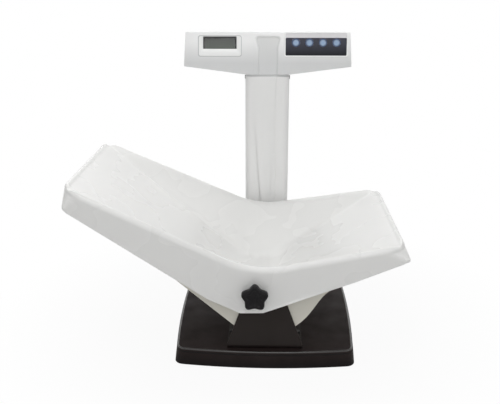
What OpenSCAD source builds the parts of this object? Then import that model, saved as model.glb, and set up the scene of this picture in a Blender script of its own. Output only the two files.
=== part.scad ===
// Digital baby weighing scale: a moulded V-shaped seat on a bent steel bracket, clamped by a star
// knob to a weighing platform, with a post at the back that carries a T-shaped display head.
// Origin: on the floor, midway between the four feet. X to the right, Y to the back, Z up.

/* [Seat tray] */
// From the valley line to the left end of the tray
tray_left_len = 336; // [310:1:360]
// From the valley line to the right end of the tray
tray_right_len = 270; // [250:1:290]
// Where the valley line lies, measured from the middle of the post
valley_x = -20; // [-30:1:-10]
// Depth of the tray, front to back
tray_depth = 352; // [335:1:370]
// Wall of the tray moulding
tray_wall = 4; // [3:0.5:5]
// Width of the rim round the tray
rim_w = 9; // [8:0.5:11]
// Radius of the tray's corners, seen from above
tray_corner_r = 25; // [20:1:32]
// Slope of the left rim
left_rim_deg = 25.4; // [24:0.2:27]
// Slope of the right rim
right_rim_deg = 11.6; // [10:0.2:13]
// Radius that rounds the rim in the valley
rim_valley_r = 180; // [140:5:220]
// How much higher the rear rim is than the front rim in the valley
rear_rim_lift = 15; // [0:1:20]
// Lowest point of the seat above the platform, where its two floors would meet
floor_h = 87; // [82:1:95]
// Front rim above that lowest point, where its two slopes would meet
front_rim_h = 75.7; // [70:0.5:85]
// Half the width of the floor in the valley
valley_half_w = 25; // [15:1:40]
// Radius that blends floor and walls in the valley
valley_blend_r = 42; // [30:1:50]
// Radius that blends floor and walls at the ends of the tray
end_blend_r = 9; // [6:0.5:12]
// Height of the small end walls above the floor
end_wall_h = 5; // [3:0.5:8]
// Height of the skirt at the left end
left_skirt_h = 40; // [34:1:46]
// Height of the skirt at the right end
right_skirt_h = 34; // [28:1:40]
// Bottom edge of the skirt above the platform, in the middle
skirt_clearance = 84; // [80:0.5:88]
// Flat stretch of the skirt's bottom edge left of the valley line
skirt_flat_left = 26; // [20:1:32]
// Flat stretch of the skirt's bottom edge right of the valley line
skirt_flat_right = 17; // [10:1:24]

/* [Seat saddle] */
// Wall of the saddle moulding
saddle_wall = 4; // [3:0.5:5]
// Half the width of the saddle where it stands on the bracket
saddle_half_w = 57; // [50:1:60]
// Height of the saddle's straight foot
saddle_foot_h = 42; // [36:1:48]
// Thickness of the saddle's floor
saddle_floor_t = 6; // [5:0.5:8]
// Where the saddle's left side ends, measured from the middle of the bracket
saddle_left_reach = 190; // [170:1:205]
// Slope of the saddle's left side
saddle_left_deg = 40.6; // [38:0.2:44]
// How far the saddle's right side swings out
saddle_right_reach = 93; // [80:1:105]
// How high the saddle's right side swings up
saddle_right_rise = 86; // [78:1:92]
// Radius of the screw bosses under the tray
boss_r = 9; // [7:0.5:11]
// Screw bosses: half their spacing along the tray
boss_x = 34; // [28:1:38]
// Screw bosses: half their spacing across the tray
boss_y = 55; // [45:1:65]

/* [Bracket] */
// Thickness of the bracket's steel
bracket_t = 4; // [3:0.5:5]
// Width of the bracket at its foot
bracket_foot_w = 141; // [136:1:150]
// Width of the uprights above their taper
bracket_top_w = 81; // [76:1:90]
// Height at which the uprights' taper ends
bracket_taper_h = 93; // [88:1:98]
// Height of the uprights
bracket_h = 141; // [136:1:145]
// Outer radius of the two bends
bracket_bend_r = 8; // [6:0.5:10]
// Corner radius at the top of the uprights
bracket_corner_r = 8; // [4:1:12]
// Air between the tray's skirt and the bracket
skirt_gap = 14; // [12:0.5:16]

/* [Clamp knob] */
// Knob axis, measured from the middle of the post
knob_x = -18; // [-22:1:-14]
// Height of the knob axis above the platform
knob_h = 121; // [118:1:124]
// Radius over the knob's lobes
knob_r = 25; // [20:0.5:28]
// Radius of each lobe
knob_lobe_r = 6.5; // [5:0.5:8]
// Thickness of the knob's star
knob_t = 17; // [14:0.5:20]
// Radius of the knob's hub
knob_hub_r = 11; // [9:0.5:13]
// Length of the knob's hub
knob_hub_len = 4; // [3:0.5:6]
// Radius of the clamp stud
stud_r = 4; // [3:0.5:5]
// Radius of the washer under the knob
washer_r = 12.5; // [11:0.5:15]
// Thickness of the washer
washer_t = 1.6; // [1:0.2:2.5]
// Radius of the threaded insert
insert_r = 7; // [6:0.5:8]
// Length of the threaded insert
insert_len = 14; // [10:0.5:18]

/* [Platform and base] */
// Width of the platform at its widest
base_w = 357; // [345:1:365]
// How much each side of the platform bows out
side_bow = 11; // [6:0.5:14]
// How much the front and back of the platform bow out
front_bow = 14; // [8:0.5:18]
// Corner radius of the platform
base_corner_r = 18; // [14:1:24]
// Height of the platform's top above the floor
platform_z = 35; // [34:0.5:38]
// How much the platform's sides lean in
side_draft = 6; // [3:0.5:8]
// Wall of the platform cover
cover_wall = 3; // [2.5:0.5:3.5]
// Gap between the cover's lower edge and the floor
cover_floor_gap = 4; // [3:0.5:5]
// Travel of the platform onto its overload stops
platform_travel = 0.5; // [0.3:0.1:0.5]
// Height of the rubber feet
foot_h = 5; // [4:0.5:6]
// Radius of the rubber feet
foot_r = 14; // [12:0.5:18]
// Thickness of the base pan
pan_t = 2; // [1.5:0.5:2.5]
// Height of the base pan's lip
pan_lip_h = 12; // [8:1:14]
// Thickness of the plate under the cover
plate_t = 3; // [2.5:0.5:3.5]
// Width and height of a load cell
cell_w = 12.7; // [11.5:0.1:13]
// Length of a load cell
cell_len = 80; // [70:1:90]
// Height of the pad under a load cell
cell_pad_h = 3; // [2:0.5:3.5]
// Screws of the platform, bracket and load cells: shank radius
screw_r = 2.5; // [2:0.25:3]

/* [Post] */
// Width of the post
post_w = 95.6; // [92:0.2:99]
// Depth of the post
post_d = 60; // [56:1:64]
// Wall of the post
post_wall = 2; // [1.5:0.25:2.5]
// Corner radius of the post
post_corner_r = 13; // [10:0.5:16]
// Top of the post above the floor
post_top_z = 491; // [470:1:510]
// Air between the tray and the post
post_gap = 24; // [20:1:28]
// Platform behind the post
rear_margin = 14; // [12:1:18]
// Distance of the seam in the post's face from its middle
seam_x = 18.6; // [14:0.2:22]
// Width of that seam
seam_w = 1.6; // [1:0.2:2.4]
// Depth of that seam
seam_d = 1; // [0.6:0.2:1.2]
// Height of the socket that holds the post's foot
post_foot_h = 60; // [45:1:80]

/* [Display head] */
// Width of the head along its lower corners
head_w = 359.4; // [350:0.2:366]
// How much narrower the head is along its top, on each side
head_side_draft = 3.5; // [0:0.5:6]
// Height of the head from its lower corners to its top
head_h = 72; // [70:0.5:80]
// Depth of the head
head_d = 62; // [58:1:66]
// Wall of the head's casing
case_wall = 2.5; // [2.5:0.25:3]
// Neck between the post and the head
neck_h = 5.5; // [4:0.5:8]
// Drop of the head's lower edge from its corners to the neck
head_drop = 16.7; // [14:0.1:20]
// How far the face leans back
face_tilt = 10; // [6:1:14]
// How far the face stands in front of the post
face_lead = 2; // [1:0.5:4]
// Radius at the top of the face
brow_r = 5; // [4:0.5:6]
// Fall of the head's top towards the back
top_fall = 5; // [0:1:8]
// Depth of the front half of the casing at the head's lower corners
front_case_d = 26; // [24:1:28]
// Length of the neck's spigot inside the post
spigot_len = 40; // [30:1:60]
// Width of the hollow down the middle of the head
channel_w = 44.4; // [40:0.2:50]
// How much wider the hollow is at its top, on each side
channel_flare = 5.2; // [3:0.2:7]
// Height of the hollow's top above the head's lower corners
channel_top = 64.4; // [60:0.2:66]
// Depth of that hollow
channel_d = 4; // [2:0.5:5]

/* [Display] */
// Distance of the display's middle from the head's left end
display_side = 77.5; // [73.5:0.2:81.5]
// Height of the display plate's middle above the head's lower corners
display_up = 42.9; // [40:0.1:45]
// Width of the display plate
display_plate_w = 91.7; // [86:0.1:96]
// Height of the display plate
display_plate_h = 43.1; // [41:0.1:45]
// Depth to which the display plate is let in
display_inset = 1; // [0.8:0.1:1.2]
// Width of the window
window_w = 71.6; // [66:0.2:74]
// Height of the window
window_h = 25.9; // [24:0.1:28]
// Height of the window's middle above the middle of the plate
window_up = 7.1; // [5:0.1:7.2]
// Thickness of the window
window_t = 1.5; // [1:0.1:2]
// Thickness of the liquid crystal display
lcd_t = 3; // [2.5:0.1:3.5]

/* [Keypad] */
// Face left between the keypad and the head's right end
keypad_side = 11.3; // [9:0.1:13]
// Face left between the hollow and the keypad
keypad_gap = 15.2; // [13:0.1:18]
// Height of the keypad's lower edge above the head's lower corners
keypad_up = 23.3; // [21:0.1:24]
// Height of the dark keypad panel
keypad_h = 37.1; // [36:0.1:38]
// Height of the pale strip above it
strip_h = 9.6; // [8:0.2:9.8]
// Width of the frame round both
keypad_frame_w = 2.5; // [2:0.1:2.6]
// How far the frame stands out of the face
keypad_frame_h = 1.6; // [1:0.2:2.4]
// Depth to which the keypad is let in
keypad_inset = 1; // [0.8:0.1:1.2]
// Distance of the outer keys' middles from the panel's ends
key_side = 21.8; // [20:0.1:24]
// Distance of the keys' middle from the panel's upper edge
key_down = 10; // [9.8:0.1:14]
// Radius of a key
key_r = 9; // [8:0.1:9.4]
// How far a key stands out of its panel
key_proud = 1.5; // [1:0.1:2.5]
// Travel of a key
key_travel = 0.6; // [0.4:0.05:0.7]
// Air round a key in its hole
key_gap = 0.25; // [0.2:0.05:0.4]

/* [Batteries] */
// Radius of a battery
battery_r = 7.1; // [6.9:0.1:7.3]
// Length of a battery
battery_len = 50; // [48:0.5:51]
// Wall of the battery box
battery_wall = 1.6; // [1.2:0.2:2]
// Thickness of the battery door
door_t = 1.6; // [1.4:0.1:1.8]

/* [Hidden] */
$fn = 64;
eps = 0.01;
contact_gap = 0.1;          // between flat faces of pieces that come apart
thread_gap = 0.05;          // between a shank and its bore
slide_gap = 0.3;            // between pieces that are fitted by hand
curve_steps = 12;
bow_fn = 360;

// platform levels
seat_z = platform_z + bracket_t + contact_gap;
pan_z = foot_h;
cover_ceiling_z = platform_z - cover_wall;
plate_z = cover_ceiling_z - plate_t;
cell_z = pan_z + pan_t + cell_pad_h;
load_gap = platform_travel + 0.1;

// front to back
base_d = tray_depth + post_gap + post_d + rear_margin;
front_y = -base_d / 2;
tray_rear_y = front_y + tray_depth;
tray_mid_y = front_y + tray_depth / 2;
post_front_y = tray_rear_y + post_gap;
post_mid_y = post_front_y + post_d / 2;
upright_front_y = front_y + tray_wall + skirt_gap;
upright_rear_y = tray_rear_y - tray_wall - skirt_gap;
saddle_front_y = upright_front_y + bracket_t + contact_gap;
saddle_rear_y = upright_rear_y - bracket_t - contact_gap;

// seat levels and ends
tray_left_x = valley_x - tray_left_len;
tray_right_x = valley_x + tray_right_len;
floor_z = platform_z + floor_h;
front_rim_z = floor_z + front_rim_h;
rear_rim_z = front_rim_z + rear_rim_lift;
left_end_z = front_rim_z + tray_left_len * tan(left_rim_deg);
right_end_z = front_rim_z + tray_right_len * tan(right_rim_deg);
skirt_z = platform_z + skirt_clearance;
knob_z = platform_z + knob_h;
end_land = rim_w + end_blend_r;
inner_half_d = tray_depth / 2 - end_land;
basin_top = 90;             // how far the basin's cutter reaches above the rim
slot_r = stud_r + 0.5;
boss_mid_x = valley_x + 14;

// head levels
neck_z = post_top_z + neck_h;
head_z = neck_z + head_drop;
head_top_z = head_z + head_h;
head_front_y = post_front_y - face_lead;
head_rear_y = head_front_y + head_d;
parting_y = head_front_y + front_case_d;
brow_z = head_top_z - brow_r;
channel_x = 1;
display_x = display_side - head_w / 2;
keypad_left_x = channel_x + channel_w / 2 + keypad_gap;
keypad_w = head_w / 2 - keypad_side - keypad_left_x;
keypad_x = keypad_left_x + keypad_w / 2;
key_pitch = (keypad_w - 2 * key_side) / 3;
brow_y = head_front_y + (brow_z - head_z) * tan(face_tilt) + brow_r / cos(face_tilt);
back_r = 5;
back_y = head_rear_y - back_r;
back_z = brow_z - (back_y - brow_y) * tan(top_fall) + (brow_r - back_r) / cos(top_fall);
spigot_gap = 0.3;
spigot_wall = 3;
spigot_w = post_w - 2 * (post_wall + spigot_gap);
spigot_d = post_d - 2 * (post_wall + spigot_gap);
spigot_r = post_corner_r - post_wall - spigot_gap;
neck_inset = 1.2;
case_screw_r = 1.5;
case_boss_r = 4;

// display and keypad: depths are measured from the leaning face
keypad_total_h = keypad_h + strip_h;
keypad_mid_up = keypad_up + keypad_total_h / 2;
key_up = keypad_up + keypad_h - key_down;
panel_proud = 0.3;
key_flange_r = key_r + 1.4;
key_flange_t = 1.2;
key_stem_r = 2;
key_stem_end = case_wall + contact_gap + key_flange_t + 1.8;
plunger_r = 1.7;
plunger_len = 0.4;
switch_w = 6;
switch_t = 3.4;
switch_depth = key_stem_end + key_travel + contact_gap + plunger_len;
board_t = 1.6;
board_depth = switch_depth + switch_t;
board_up = 44;
board_h = 40;
standoff_r = 2.5;

// batteries
battery_box_w = 2 * battery_len + 14;
battery_box_h = 4 * battery_r + 6;
battery_box_d = 2 * battery_r + battery_wall + 1;
battery_z = head_z + head_h / 2;
door_lip = 2;
door_w = battery_box_w + 2 * door_lip;
door_h = battery_box_h + 2 * door_lip;
box_rear_y = head_rear_y - door_t - contact_gap;

// ---------- helpers ----------

// plain rectangle with round corners, centred
module round_rect(w, d, r) {
    square([w - 2 * r, d], center = true);
    square([w, d - 2 * r], center = true);
    for (sx = [-1, 1], sy = [-1, 1])
        translate([sx * (w / 2 - r), sy * (d / 2 - r)]) circle(r);
}

// stands an XZ outline up, from y0 to y1
module along_y(y0, y1) {
    translate([0, y1, 0]) rotate([90, 0, 0]) linear_extrude(y1 - y0) children();
}

// lays a YZ outline along X, from -w/2 to w/2
module along_x(w) {
    translate([-w / 2, 0, 0]) rotate([90, 0, 90]) linear_extrude(w) children();
}

// a screw along -Z: its head above z = 0, its shank below
module screw(r, len, head_r, head_h) {
    cylinder(r = head_r, h = head_h);
    translate([0, 0, -len]) cylinder(r = r, h = len + eps);
}

// points of an arc, from angle a to angle b
function arc(c, r, a, b, n = curve_steps) =
    [for (i = [0:n]) c + r * [cos(a + (b - a) * i / n), sin(a + (b - a) * i / n)]];

// points of a cubic curve
function bezier(p, n = curve_steps) =
    [for (i = [0:n]) let (t = i / n, s = 1 - t)
        s * s * s * p[0] + 3 * s * s * t * p[1] + 3 * s * t * t * p[2] + t * t * t * p[3]];

// a tube swept along a route, with square ends
function unit(v) = v / norm(v);
function way(p, i) = unit(p[min(i + 1, len(p) - 1)] - p[max(i - 1, 0)]);
function side_of(t) = unit(cross(t, abs(t[2]) > 0.9 ? [0, 1, 0] : [0, 0, 1]));
module tube(p, r, sides = 8) {
    n = len(p);
    pts = [for (i = [0:n - 1]) let (t = way(p, i), u = side_of(t), v = cross(t, u))
        for (k = [0:sides - 1]) p[i] + r * (cos(360 * k / sides) * u + sin(360 * k / sides) * v)];
    walls = [for (i = [0:n - 2], k = [0:sides - 1]) let (a = i * sides + k,
        b = i * sides + (k + 1) % sides, c = a + sides, d = b + sides)
        for (f = [[a, d, b], [a, c, d]]) f];
    last = (n - 1) * sides;
    caps = [for (k = [1:sides - 2]) for (f = [[0, k, k + 1], [last, last + k + 1, last + k]]) f];
    polyhedron(pts, concat(walls, caps));
}

// ---------- base ----------

// platform outline: four shallow arcs with rounded corners, drawn in by inset
module base_outline(inset) {
    hw = base_w / 2;
    hd = base_d / 2;
    side_r = (hd * hd + side_bow * side_bow) / (2 * side_bow);
    front_r = (hw * hw + front_bow * front_bow) / (2 * front_bow);
    r = base_corner_r - inset / 2;
    offset(r = r) offset(delta = -r - inset) intersection() {
        intersection_for (s = [-1, 1])
            translate([s * (side_r - hw), 0]) circle(side_r, $fn = bow_fn);
        intersection_for (s = [-1, 1])
            translate([0, s * (front_r - hd)]) circle(front_r, $fn = bow_fn);
    }
}

cell_x = base_w / 2 - 48;
cell_front_y = front_y + 62;
cell_rear_y = post_front_y - 60;
cell_y = [cell_front_y, cell_rear_y];
foot_x = base_w / 2 - 44;
foot_y = base_d / 2 - 42;

// the four load cells lie lengthwise; s is -1 for the front pair and 1 for the rear pair
module at_cells() {
    for (sx = [-1, 1], i = [0, 1])
        translate([sx * cell_x, cell_y[i], 0]) rotate([0, 0, i == 0 ? 180 : 0]) children();
}

pan_inset = side_draft + cover_wall + 2;
post_hole_gap = 2;

module base_pan() {
    color("#3b3d40") difference() {
        union() {
            translate([0, 0, pan_z]) linear_extrude(pan_t) base_outline(pan_inset);
            translate([0, 0, pan_z]) linear_extrude(pan_lip_h) difference() {
                base_outline(pan_inset);
                base_outline(pan_inset + pan_t);
            }
            at_cells() translate([-cell_w / 2, -cell_len / 2, pan_z + pan_t - eps])
                cube([cell_w, cell_len * 0.42, cell_pad_h + eps]);
        }
        at_cells() for (k = [0.1, 0.3])
            translate([0, cell_len * (k - 0.5), pan_z - eps])
                cylinder(r = screw_r + thread_gap, h = cell_pad_h + pan_t + 1);
        at_post_screws() translate([0, 0, pan_z - 1])
            cylinder(r = screw_r + thread_gap, h = pan_t + 2);
    }
}

// four feet near the corners, and one under the middle that keeps the pan from bending
foot_spots = concat([[0, 0]], [for (sx = [-1, 1], sy = [-1, 1]) [sx * foot_x, sy * foot_y]]);
module rubber_feet() {
    color("#1c1c1c") for (p = foot_spots) translate(p) {
        cylinder(r1 = foot_r - 1, r2 = foot_r, h = 1);
        translate([0, 0, 1]) cylinder(r = foot_r, h = foot_h - 1);
    }
}

// beam load cells: a bar with the two joined bores that let it bend
module load_cells() {
    color("#b9bdc2") at_cells() difference() {
        translate([-cell_w / 2, -cell_len / 2, cell_z]) cube([cell_w, cell_len, cell_w]);
        for (k = [-1, 1]) translate([-cell_w, k * 7, cell_z + cell_w / 2])
            rotate([0, 90, 0]) cylinder(r = 4.5, h = 2 * cell_w);
        translate([-cell_w, -7, cell_z + cell_w / 2 - 1.5]) cube([2 * cell_w, 14, 3]);
        for (k = [0.1, 0.3]) translate([0, cell_len * (k - 0.5), cell_z - eps])
            cylinder(r = screw_r + thread_gap, h = cell_w + 1);
    }
}

module cell_screws() {
    color("#8d9196") at_cells() for (k = [0.1, 0.3])
        translate([0, cell_len * (k - 0.5), cell_z + cell_w])
            screw(screw_r, cell_w + cell_pad_h + pan_t, 2 * screw_r, 1.6);
}

board_setback = 100;        // from the post back to the board's middle
board_y = post_front_y - board_setback;
board_w = 60;
board_d = 40;
standoff_h = 4;
module summing_board() {
    color("#2e6b3a") translate([-board_w / 2, board_y - board_d / 2, pan_z + pan_t]) {
        translate([0, 0, standoff_h]) cube([board_w, board_d, board_t]);
        for (x = [4, board_w - 4], y = [4, board_d - 4])
            translate([x, y, 0]) cylinder(r = 2.5, h = standoff_h + eps);
        translate([board_w / 2 - 6, board_d - 10, standoff_h + board_t - eps]) cube([12, 6, 5]);
        for (x = [2, board_w - 8], y = [6, 22])
            translate([x, y, standoff_h + board_t - eps]) cube([6, 10, 4]);
    }
}

cell_wire_exit = 14;        // from a cell's end to where its wires leave it
// one lead from each load cell to the summing board
wire_r = 1.25;
wire_z = cell_z + wire_r;
module cell_wires() {
    color("#9a9a96") for (sx = [-1, 1], i = [0, 1]) {
        s = i == 0 ? 1 : -1;
        y0 = cell_y[i] + s * (cell_len / 2 - cell_wire_exit);
        y1 = board_y + (i == 0 ? -9 : 7);
        x0 = cell_x - cell_w / 2;
        tube([for (q = [[x0, y0], [x0 - 8, y0], [x0 - 14, y0 + s * 2], [x0 - 18, y0 + s * 8],
            [x0 - 26, (y0 + y1) / 2], [x0 - 40, y1], [board_w / 2 + 20, y1], [board_w / 2 + 8, y1],
            [board_w / 2, y1]]) [sx * q[0], q[1], wire_z]], wire_r);
    }
}

post_screw_x = 36;
post_screw_y = post_d / 2 - 14;
module at_post_screws() {
    for (sx = [-1, 1], sy = [-1, 1])
        translate([sx * post_screw_x, post_mid_y + sy * post_screw_y, 0]) children();
}

foot_flange_t = 4;
foot_z = pan_z + pan_t;
socket_w = post_w - 2 * post_wall - 2 * slide_gap;
socket_d = post_d - 2 * post_wall - 2 * slide_gap;
socket_wall = 3;

// flange with an upright socket, over which the post slips
module post_foot() {
    color("#55585c") difference() {
        union() {
            translate([0, post_mid_y, foot_z]) linear_extrude(foot_flange_t)
                round_rect(post_w, post_d, post_corner_r);
            translate([0, post_mid_y, foot_z]) linear_extrude(post_foot_h)
                round_rect(socket_w, socket_d, spigot_r);
        }
        translate([0, post_mid_y, foot_z + foot_flange_t]) linear_extrude(post_foot_h)
            round_rect(socket_w - 2 * socket_wall, socket_d - 2 * socket_wall,
                spigot_r - socket_wall);
        at_post_screws() translate([0, 0, foot_z - 1])
            cylinder(r = screw_r + thread_gap, h = foot_flange_t + 2);
        translate([0, post_mid_y - socket_d / 2 - 1, foot_z + foot_flange_t + 8])
            rotate([-90, 0, 0]) cylinder(r = cable_r + 1.5, h = socket_wall + 3);
    }
}

module post_foot_screws() {
    color("#8d9196") at_post_screws() translate([0, 0, foot_z + foot_flange_t])
        screw(screw_r, foot_flange_t + pan_t, 2 * screw_r, 2);
}

// extruded post with a seam in its face and holes for the neck screws
neck_screw_z = post_top_z - 4.5;
module post() {
    color("#dcdcda") difference() {
        translate([0, post_mid_y, foot_z + foot_flange_t])
            linear_extrude(post_top_z - foot_z - foot_flange_t) difference() {
                round_rect(post_w, post_d, post_corner_r);
                round_rect(post_w - 2 * post_wall, post_d - 2 * post_wall,
                    post_corner_r - post_wall);
                translate([seam_x - seam_w / 2, -post_d / 2 - 1]) square([seam_w, 1 + seam_d]);
            }
        translate([-post_w, post_mid_y, neck_screw_z]) rotate([0, 90, 0])
            cylinder(r = screw_r + slide_gap, h = 2 * post_w);
        translate([0, post_front_y - 1, foot_z + foot_flange_t + 8])
            rotate([-90, 0, 0]) cylinder(r = cable_r + 1.5, h = post_wall + 2);
    }
}

// the cable runs from the summing board up inside the post to the display board
cable_r = 2.4;
board_plug_y = board_y + board_d / 2 - 4;
cable_z = pan_z + pan_t + standoff_h + board_t + 3;
riser_z = foot_z + foot_flange_t + 8;
riser_y = post_front_y + 0.4 * post_d;
riser_steps = 10;
bend_r = 18;
module signal_cable() {
    lead = [[0, board_plug_y, cable_z], [0, board_plug_y + 6, cable_z],
        [0, board_plug_y + 16, cable_z + 0.5], [0, post_front_y - 14, riser_z - 1],
        [0, post_front_y - 6, riser_z], [0, riser_y - bend_r, riser_z]];
    bend = [for (a = [15:15:75])
        [0, riser_y - bend_r * (1 - sin(a)), riser_z + bend_r * (1 - cos(a))]];
    rise_z = riser_z + bend_r;
    rise = [for (k = [0:riser_steps])
        [0, riser_y, rise_z + (neck_z - rise_z) * k / riser_steps]];
    end_x = plug_x + plug_w / 2;
    end_depth = board_depth + board_t + plug_d / 2;
    end_y = head_front_y + plug_up * sin(face_tilt) + end_depth * cos(face_tilt);
    end_z = head_z + plug_up * cos(face_tilt) - end_depth * sin(face_tilt);
    top = [[0, riser_y, head_z], [-4, riser_y, head_z + 10], [-14, riser_y - 1, end_z - 8],
        [-28, riser_y - 3, end_z - 2], [end_x + 12, end_y + 1, end_z], [end_x, end_y, end_z]];
    color("#2a2a2a") tube(concat(lead, bend, rise, top), cable_r);
}

// ---------- weighing platform ----------

module platform_form(inset, z0, z1) {
    hull() {
        translate([0, 0, z0]) linear_extrude(eps) base_outline(inset);
        translate([0, 0, z1 - 3]) linear_extrude(eps) base_outline(inset + side_draft - 1.2);
        translate([0, 0, z1 - 0.8]) linear_extrude(0.8 - eps) base_outline(inset + side_draft + 0.6);
        translate([0, 0, z1 - eps]) linear_extrude(eps) base_outline(inset + side_draft + 2);
    }
}

module platform_cover() {
    color("#2f2c2b") difference() {
        platform_form(0, cover_floor_gap, platform_z);
        platform_form(cover_wall, cover_floor_gap - 1, cover_ceiling_z);
        translate([0, post_mid_y, cover_floor_gap]) linear_extrude(platform_z)
            round_rect(post_w + 2 * post_hole_gap, post_d + 2 * post_hole_gap,
                post_corner_r + post_hole_gap);
        at_bracket_screws() translate([0, 0, plate_z])
            cylinder(r = screw_r + thread_gap, h = platform_z);
    }
}

// stiff plate under the cover; it sits on the load buttons
plate_inset = side_draft + cover_wall + 6;
module platform_plate() {
    color("#6a6d70") translate([0, 0, plate_z]) difference() {
        linear_extrude(plate_t) intersection() {
            base_outline(plate_inset);
            translate([-base_w, -base_d]) square([2 * base_w, base_d + post_front_y - 8]);
        }
        at_bracket_screws() translate([0, 0, -1])
            cylinder(r = screw_r + thread_gap, h = plate_t + 2);
    }
}

module load_buttons() {
    z0 = cell_z + cell_w + load_gap;
    color("#1c1c1c") at_cells() translate([0, cell_len * 0.38, z0])
        cylinder(r = cell_w * 0.4, h = plate_z - z0);
}

// ---------- bracket ----------

bracket_screw_x = bracket_foot_w / 2 - 7;
module at_bracket_screws() {
    for (sx = [-1, 1], sy = [-1, 1])
        translate([sx * bracket_screw_x, tray_mid_y + sy * tray_depth * 0.28, 0]) children();
}

// outline of one upright, seen from the front
module upright_outline() {
    fw = bracket_foot_w / 2;
    tw = bracket_top_w / 2;
    r = bracket_corner_r;
    z0 = platform_z + bracket_bend_r;
    z1 = platform_z + bracket_taper_h;
    z2 = platform_z + bracket_h;
    difference() {
        polygon(concat([[-fw, z0], [fw, z0], [tw, z1]], arc([tw - r, z2 - r], r, 0, 90),
            arc([r - tw, z2 - r], r, 90, 180), [[-tw, z1]]));
        translate([knob_x, knob_z]) circle(slot_r);
        translate([knob_x - slot_r, knob_z]) square([2 * slot_r, bracket_h]);
    }
}

module bracket_bend(y, s) {
    translate([0, y + s * bracket_bend_r, platform_z + bracket_bend_r])
        intersection() {
            rotate([0, 90, 0]) difference() {
                cylinder(r = bracket_bend_r, h = bracket_foot_w, center = true);
                cylinder(r = bracket_bend_r - bracket_t, h = bracket_foot_w + 2, center = true);
            }
            translate([-bracket_foot_w, s > 0 ? -bracket_bend_r : 0, -bracket_bend_r])
                cube([2 * bracket_foot_w, bracket_bend_r, bracket_bend_r]);
        }
}

module seat_bracket() {
    y0 = upright_front_y;
    y1 = upright_rear_y;
    color("#312d2c") difference() {
        union() {
            translate([-bracket_foot_w / 2, y0 + bracket_bend_r, platform_z])
                cube([bracket_foot_w, y1 - y0 - 2 * bracket_bend_r, bracket_t]);
            along_y(y0, y0 + bracket_t) upright_outline();
            along_y(y1 - bracket_t, y1) upright_outline();
            bracket_bend(y0, 1);
            bracket_bend(y1, -1);
        }
        at_bracket_screws() translate([0, 0, platform_z - 1])
            cylinder(r = screw_r + thread_gap, h = bracket_t + 2);
    }
}

module bracket_screws() {
    color("#8d9196") at_bracket_screws() translate([0, 0, platform_z + bracket_t])
        screw(screw_r, platform_z + bracket_t - plate_z, 2 * screw_r, 2.4);
}

// ---------- seat ----------

// rim line from the right end to the left, with a rounded valley; the front and the rear rim
// share their end stretches, so that the rim of each end is level from front to back
function rim_line(valley_z) = let (
        inner_l = tray_left_len - end_land,
        inner_r = tray_right_len - end_land,
        zl = left_end_z - end_land * tan(left_rim_deg),
        zr = right_end_z - end_land * tan(right_rim_deg),
        al = atan((zl - valley_z) / inner_l),
        ar = atan((zr - valley_z) / inner_r),
        t = rim_valley_r * tan((al + ar) / 2),
        p = [valley_x + t * cos(ar), valley_z + t * sin(ar)],
        c = p + rim_valley_r * [-sin(ar), cos(ar)])
    concat([[tray_right_x, right_end_z], [valley_x + inner_r, zr]],
        arc(c, rim_valley_r, ar - 90, -al - 90),
        [[valley_x - inner_l, zl], [tray_left_x, left_end_z]]);

// side view of the tray: rim above, edge of the skirt below
module tray_profile(valley_z) {
    polygon(concat(rim_line(valley_z), [
        [tray_left_x, left_end_z - left_skirt_h],
        [valley_x - skirt_flat_left, skirt_z],
        [valley_x + skirt_flat_right, skirt_z],
        [tray_right_x, right_end_z - right_skirt_h]]));
}

// plan of the tray, drawn in by w
module tray_plan(w) {
    translate([(tray_left_x + tray_right_x) / 2, tray_mid_y])
        round_rect(tray_left_len + tray_right_len - 2 * w, tray_depth - 2 * w, tray_corner_r - w);
}

// the tray as a solid block, drawn in by w and lowered by w
module tray_block(w) {
    intersection() {
        linear_extrude(2 * left_end_z) tray_plan(w);
        translate([0, 0, -w]) union() {
            along_y(front_y, tray_mid_y) tray_profile(front_rim_z);
            along_y(tray_mid_y, tray_rear_y) tray_profile(rear_rim_z);
        }
    }
}

// one half of the hollow that holds the child: side is -1 for the left half and 1 for the right
module basin_half(side, grow) {
    rim_deg = side < 0 ? left_rim_deg : right_rim_deg;
    end_rim_z = (side < 0 ? left_end_z : right_end_z) - end_land * tan(rim_deg);
    end_x = side < 0 ? tray_left_x + end_land : tray_right_x - end_land;
    end_z = end_rim_z - end_wall_h + end_blend_r;
    hull() for (s = [-1, 1]) {
        y_end = tray_mid_y + s * inner_half_d;
        rim_z = s < 0 ? front_rim_z : rear_rim_z;
        for (up = [0, basin_top]) translate([end_x, y_end, end_z + up])
            sphere(end_blend_r + grow, $fn = 24);
        for (up = [end_blend_r, basin_top + left_end_z - front_rim_z])
            translate([valley_x, y_end, rim_z + up]) sphere(end_blend_r + grow, $fn = 24);
        translate([valley_x, tray_mid_y + s * valley_half_w, floor_z + valley_blend_r])
            sphere(valley_blend_r + grow, $fn = 32);
    }
}

module basin(grow) {
    basin_half(-1, grow);
    basin_half(1, grow);
}

boss_z = seat_z + saddle_floor_t;
boss_top_z = floor_z + valley_blend_r;
boss_bore = 25;
module at_bosses() {
    for (sx = [-1, 1], sy = [-1, 1])
        translate([boss_mid_x + sx * boss_x, tray_mid_y + sy * boss_y, 0]) children();
}

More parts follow.
